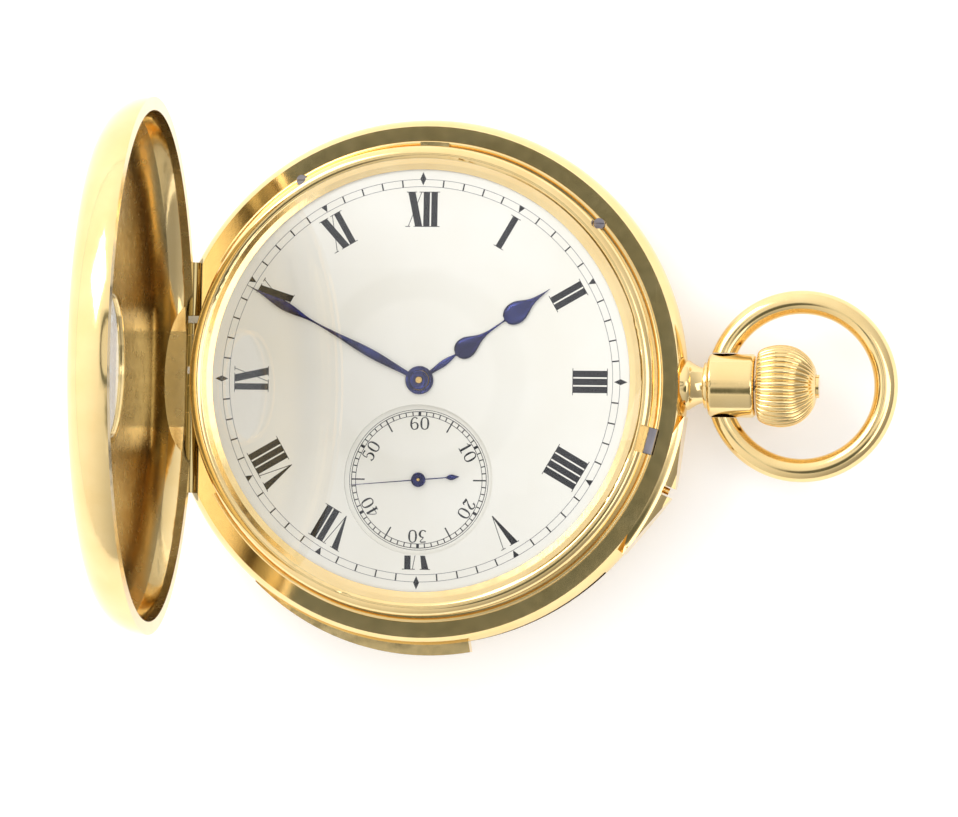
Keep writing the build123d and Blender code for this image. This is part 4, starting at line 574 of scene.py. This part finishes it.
# Each line runs along a hand as (reach, half width)
HOUR_LINE = [
    (1.2, 0.18), (2.0, 0.24), (2.8, 0.32), (3.5, 0.28), (4.2, 0.15), (4.5, 0.13), (4.65, 0.5),
    (5.0, 0.86), (5.5, 1.04), (6.1, 1.0), (6.7, 0.74), (7.3, 0.44), (7.9, 0.24), (8.6, 0.12),
    (9.5, 0.09), (10.5, 0.1), (10.68, 0.5), (11.1, 0.9), (11.7, 1.09), (12.3, 1.05),
    (12.9, 0.82), (13.5, 0.5), (14.1, 0.28), (14.8, 0.15), (15.5, 0.07), (16.1, 0.02),
]
MINUTE_LINE = [
    (0.8, 0.2), (2.0, 0.26), (3.2, 0.34), (4.5, 0.42), (5.8, 0.44), (7.2, 0.38), (8.6, 0.27),
    (10.0, 0.17), (11.2, 0.11), (12.2, 0.09), (13.2, 0.14), (14.2, 0.3), (15.2, 0.44),
    (16.0, 0.48), (16.8, 0.42), (17.6, 0.28), (18.5, 0.14), (19.4, 0.06), (20.3, 0.02),
]
SECONDS_LINE = [
    (-4.2, 0.01), (-3.9, 0.12), (-3.5, 0.27), (-3.2, 0.25), (-2.9, 0.1), (-2.7, 0.055),
    (-1.0, 0.055), (0.0, 0.055), (3.0, 0.04), (6.95, 0.03),
]

# The domed section across a hand, as shares of its half width and its rise
HAND_SECTION = ((-1, 0), (-1, 0.35), (-0.6, 0.85), (0, 1), (0.6, 0.85), (1, 0.35), (1, 0))
HAND_THIN = 0.012  # least half width
HAND_FULL = 0.22  # half width from which a hand has its full thickness
HUB_STEPS = 48
HUB_CHAMFER = 0.05


def hand(name, node, body, outline, low, thick, clockwise, centre, hub, grooves):
    """A domed hand on a hub of (outer radius, bore, top), with turned steps as (radius, drop)."""
    points, faces = [], []
    line = curve_through(outline, 6)
    for reach, half in line:
        half = max(half, HAND_THIN)
        rise = thick * min(1, half / HAND_FULL)
        points += [(reach, half * across, low + rise * up) for across, up in HAND_SECTION]
    count = len(HAND_SECTION)
    for start in range(0, (len(line) - 1) * count, count):
        for a in range(start, start + count - 1):
            faces.append((a, a + count, a + count + 1, a + 1))
        faces.append((start, start + count - 1, start + 2 * count - 1, start + count))
    faces += [tuple(range(count)), tuple(reversed(range(len(points) - count, len(points))))]

    outer, bore, top = hub
    section = [(bore, low), (bore, top), *((radius, top - drop) for radius, drop in grooves),
               (outer, top - HUB_CHAMFER), (outer, low)]
    start = len(points)
    for angle in angles(HUB_STEPS):
        points += [(r * math.cos(angle), r * math.sin(angle), z) for r, z in section]
    for step in range(HUB_STEPS):
        a = start + step * len(section)
        b = start + (step + 1) % HUB_STEPS * len(section)
        for knot in range(len(section)):
            following = (knot + 1) % len(section)
            faces.append((a + knot, b + knot, b + following, a + following))

    turn = Matrix.Rotation(math.radians(90 - clockwise), 3, "Z")
    moved = [turn @ Vector(p) + Vector((*centre, 0)) for p in points]
    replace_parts(piece(name, moved, faces, blued, body), node)


hand("hour_hand_blued", "hour_hand", "hour_body", HOUR_LINE, low=10.86, thick=0.12,
     clockwise=54.7, centre=(0, 0), hub=(1.43, 1.01, 11.0),
     grooves=[(1.12, 0.0), (1.16, 0.05), (1.26, 0.05), (1.3, 0.0)])
hand("minute_hand_blued", "minute_hand", "centre_body", MINUTE_LINE, low=11.1, thick=0.12,
     clockwise=298.0, centre=(0, 0), hub=(0.98, 0.335, 11.27),
     grooves=[(0.5, 0.0), (0.54, 0.06), (0.72, 0.06), (0.76, 0.0), (0.9, 0.01)])
hand("seconds_hand_blued", "seconds_hand", "fourth_body", SECONDS_LINE, low=10.45, thick=0.1,
     clockwise=265.0, centre=SECONDS_AT, hub=(0.73, 0.16, 10.6),
     grooves=[(0.3, 0.0), (0.6, 0.01), (0.7, 0.03)])


# Crown: ribs that run over an onion

# The onion's outline over the ribs, as (x, radius)
CROWN_LINE = [
    (33.9, 3.15), (33.94, 3.45), (34.25, 3.72), (34.8, 3.95), (35.5, 4.12), (36.2, 4.18),
    (36.95, 4.12), (37.65, 3.93), (38.25, 3.62), (38.75, 3.22), (39.15, 2.78), (39.45, 2.32),
    (39.66, 1.88), (39.78, 1.55),
]
CROWN_FOOT_X, CROWN_END_X, BUTTON_SEAT_X = 33.9, 39.8, 38.4
STEM_HOLE_R, BUTTON_HOLE_R = 0.52, 1.24
RIBS, POINTS_PER_RIB, RIB_DEPTH, RIB_ROUND = 38, 12, 0.42, 0.96
RIBS_FADE_R, RIBS_FADE = 1.6, 1.5


def fluted_crown():
    """Ribs run from the foot to the end and fade where the onion closes."""
    line = curve_through(CROWN_LINE, 4)
    steps = RIBS * POINTS_PER_RIB
    points, faces = [], []
    for x, radius in line:
        depth = RIB_DEPTH * min(1, max(0, (radius - RIBS_FADE_R) / RIBS_FADE))
        for step, angle in enumerate(angles(steps)):
            across = 2 * (step % POINTS_PER_RIB) / POINTS_PER_RIB - 1
            reach = radius - depth * (1 - math.sqrt(1 - RIB_ROUND * across ** 2))
            points.append((x, reach * math.cos(angle), STEM_Z + reach * math.sin(angle)))
    end = (len(line) - 1) * steps
    for start in range(0, end, steps):
        faces += ring_faces(start, start + steps, steps)
    foot_ring, end_ring, seat_ring = (len(points) + count * steps for count in range(3))
    points += stem_ring(CROWN_FOOT_X, STEM_HOLE_R, steps)
    points += stem_ring(CROWN_END_X, BUTTON_HOLE_R, steps)
    points += stem_ring(BUTTON_SEAT_X, BUTTON_HOLE_R, steps)
    faces += ring_faces(0, foot_ring, steps, flip=True)
    faces += ring_faces(end, end_ring, steps)
    faces += ring_faces(end_ring, seat_ring, steps)
    return piece("crown_fluted", points, faces, gold, "crown_body")


# Pendant and bow with smooth round sections

# Runs of (x, radius); each has points of its own, so that the corners between runs stay crisp
PENDANT_NECK = [(26.2, 2.54), (26.9, 2.54), (27.3, 2.27), (27.8, 1.99), (28.2, 1.85), (28.5, 1.79)]
PENDANT_SLEEVE = [
    (28.9, 2.88), (28.92, 2.97), (28.98, 3.07), (29.07, 3.16), (29.18, 3.22), (29.3, 3.24),
    (29.4, 3.24), (33.2, 3.24), (33.3, 3.24), (33.42, 3.22), (33.53, 3.16), (33.62, 3.07),
    (33.68, 2.97), (33.7, 2.88),
]
PENDANT_RUNS = [
    [(22.95, 1.21), (22.95, 1.59)],
    [(22.95, 1.59), (26.2, 1.59)],
    [(26.2, 1.59), (26.2, 2.54)],
    curve_through(PENDANT_NECK, 4),
    [(28.5, 1.79), (28.5, 2.31)],
    [(28.5, 2.31), (28.54, 2.35), (28.9, 2.35)],
    [(28.9, 2.35), (28.9, 2.88)],
    PENDANT_SLEEVE,
    [(33.7, 2.88), (33.7, 1.21)],
    [(33.7, 1.21), (22.95, 1.21)],
]
PENDANT_STEPS = 120

BOW_X, BOW_RING_R, BOW_WIRE_R = 38.304, 8.5, 1.2
BOW_FOOT_Y = 3.28  # where the ends stand on the sleeve
BOW_AROUND, BOW_ALONG = 40, 150


def turned_pendant():
    """Tube, neck, flange and sleeve, turned about the stem's axis."""
    points, faces = [], []
    for run in PENDANT_RUNS:
        for row, (x, radius) in enumerate(run):
            if row:
                start = len(points)
                faces += ring_faces(start - PENDANT_STEPS, start, PENDANT_STEPS)
            points += stem_ring(x, radius, PENDANT_STEPS)
    return piece("pendant_turned", points, faces, gold, "case")


def swept_bow():
    """A round wire bent to a ring, its two ends cut flat where they stand on the sleeve."""
    points, faces = [], []
    for angle in angles(BOW_AROUND):
        reach = BOW_RING_R + BOW_WIRE_R * math.cos(angle)
        end = math.pi - math.asin(BOW_FOOT_Y / reach)
        for step in range(BOW_ALONG + 1):
            turn = end * (2 * step / BOW_ALONG - 1)
            points.append((
                BOW_X + reach * math.cos(turn), reach * math.sin(turn),
                STEM_Z + BOW_WIRE_R * math.sin(angle),
            ))
    row = BOW_ALONG + 1
    for side in range(BOW_AROUND):
        following = (side + 1) % BOW_AROUND
        for step in range(BOW_ALONG):
            a, b = side * row + step, following * row + step
            faces.append((a, a + 1, b + 1, b))
    # flat ends with points of their own
    for step in (0, BOW_ALONG):
        start = len(points)
        points += [points[side * row + step] for side in range(BOW_AROUND)]
        ring = range(start, start + BOW_AROUND)
        faces.append(tuple(ring if step == 0 else reversed(ring)))
    return piece("bow_wire", points, faces, gold, "bow_body")


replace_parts(fluted_crown(), "crown")
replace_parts(turned_pendant(), "pendant")
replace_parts(swept_bow(), "bow")


# Stage, light and camera, in metres

PAPER_LIFT = 0.22  # light that the floor adds to its own where it is seen or mirrored
CARD_DARK = (0.13, 0.145, 0.125)
CARD_EDGE = (0.9, 0.9, 0.9)
BRIGHT_SIDE = (-0.75, 0.55, 0.1)
FOCAL_PIXELS, FRAME_PIXELS, SENSOR = 4053.3, 958, 36


def stage_plane(name, size, location, look):
    mesh = bpy.data.meshes.new(name)
    mesh.from_pydata([(x, y, 0) for x, y in box(-size / 2, -size / 2, size / 2, size / 2)],
                     [], [(0, 1, 2, 3)])
    obj = bpy.data.objects.new(name, mesh)
    obj.location = location
    bpy.context.scene.collection.objects.link(obj)
    mesh.materials.append(look.material)
    return obj


def paper(name):
    """Pale paper that keeps the shadow, looks white from above and is clear from below."""
    look = Look(name)
    tone = look.noise(14.0, detail=2.0)
    look.set(
        Roughness=0.9, Specular_IOR_Level=0.1,
        Base_Color=look.ramp(tone, 0.2, 0.8, linear(236, 236, 237), linear(240, 240, 240)),
    )
    path = look.add("LightPath").outputs
    mirrored = look.number("MAXIMUM", path["Is Glossy Ray"], path["Is Transmission Ray"])
    seen = look.number("MAXIMUM", path["Is Camera Ray"], mirrored)
    lift = look.add("Emission", Strength=look.number("MULTIPLY", seen, PAPER_LIFT))
    both = look.add("AddShader")
    for socket, node in zip(both.inputs, (look.shader, lift)):
        look.feed(socket, node.outputs[0])
    below = look.add("NewGeometry").outputs["Backfacing"]
    look.show(look.choose(below, both, look.add("BsdfTransparent")))
    return look


def card(name, location, middle, core, edge):
    """A ring or disc that only shows in reflections: dark round its middle radius."""
    look = Look(name)
    reach = look.vector("LENGTH", look.place)
    away = look.number("ABSOLUTE", look.number("SUBTRACT", reach, middle))
    spread = look.add("MapRange", Value=away, From_Min=core, From_Max=edge).outputs["Result"]
    shade = look.ramp(spread, 0.0, 1.0, CARD_DARK, CARD_EDGE)
    look.show(look.add("Emission", Color=shade))
    obj = stage_plane(name, (middle + edge) * 2, location, look)
    for ray in ("camera", "diffuse", "shadow", "transmission"):
        setattr(obj, f"visible_{ray}", False)


def lamp(name, size, power, location):
    """A square lamp that faces the watch."""
    data = bpy.data.lights.new(name, "AREA")
    data.size = size
    data.energy = power
    obj = bpy.data.objects.new(name, data)
    obj.location = location
    obj.rotation_euler = (-Vector(location)).to_track_quat("-Z", "Y").to_euler()
    bpy.context.scene.collection.objects.link(obj)


stage_plane("floor", 3.0, (0, 0, -0.0003), paper("floor_paper"))
card("card_over_case", (-0.0322, 0.0099, 0.2), middle=0.0362, core=0.004, edge=0.0068)
card("card_over_crown", (0.1, -0.235, 0.57), middle=0.0, core=0.14, edge=0.21)
lamp("key", size=0.5, power=3.6, location=(-0.55, 0.55, 0.75))
lamp("fill", size=0.7, power=2.8, location=(0.45, -0.15, 0.9))

world = bpy.data.worlds.new("studio")
world.use_nodes = True
sky = Nodes(world.node_tree)
# brighter up and to the left, dimmer down and to the right, plain white to the camera
lean = sky.vector("DOT_PRODUCT", sky.add("TexCoord").outputs["Generated"], BRIGHT_SIDE)
side = sky.add("MapRange", Value=lean, From_Min=-0.8, From_Max=0.8, To_Min=0.38, To_Max=1.42)
seen = sky.add("LightPath").outputs["Is Camera Ray"]
strength = sky.add("Mix", Factor=seen, A=side.outputs["Result"], B=1.0).outputs["Result"]
sky.fill(sky.find("BACKGROUND"), {"Strength": strength, "Color": (1, 1, 1, 1)})
bpy.context.scene.world = world

# fitted to the outlines of the dial, the case and the lid in the photo
camera_data = bpy.data.cameras.new("view")
camera_data.sensor_width = SENSOR
camera_data.lens = FOCAL_PIXELS / FRAME_PIXELS * SENSOR
camera_data.clip_start = 0.01
camera = bpy.data.objects.new("view", camera_data)
camera.location = (0.06851, -0.02097, 0.41487)
camera.rotation_euler = [math.radians(a) for a in (2.699, 8.732, 1.008)]
bpy.context.scene.collection.objects.link(camera)
bpy.context.scene.camera = camera
bpy.context.scene.view_settings.view_transform = "Standard"
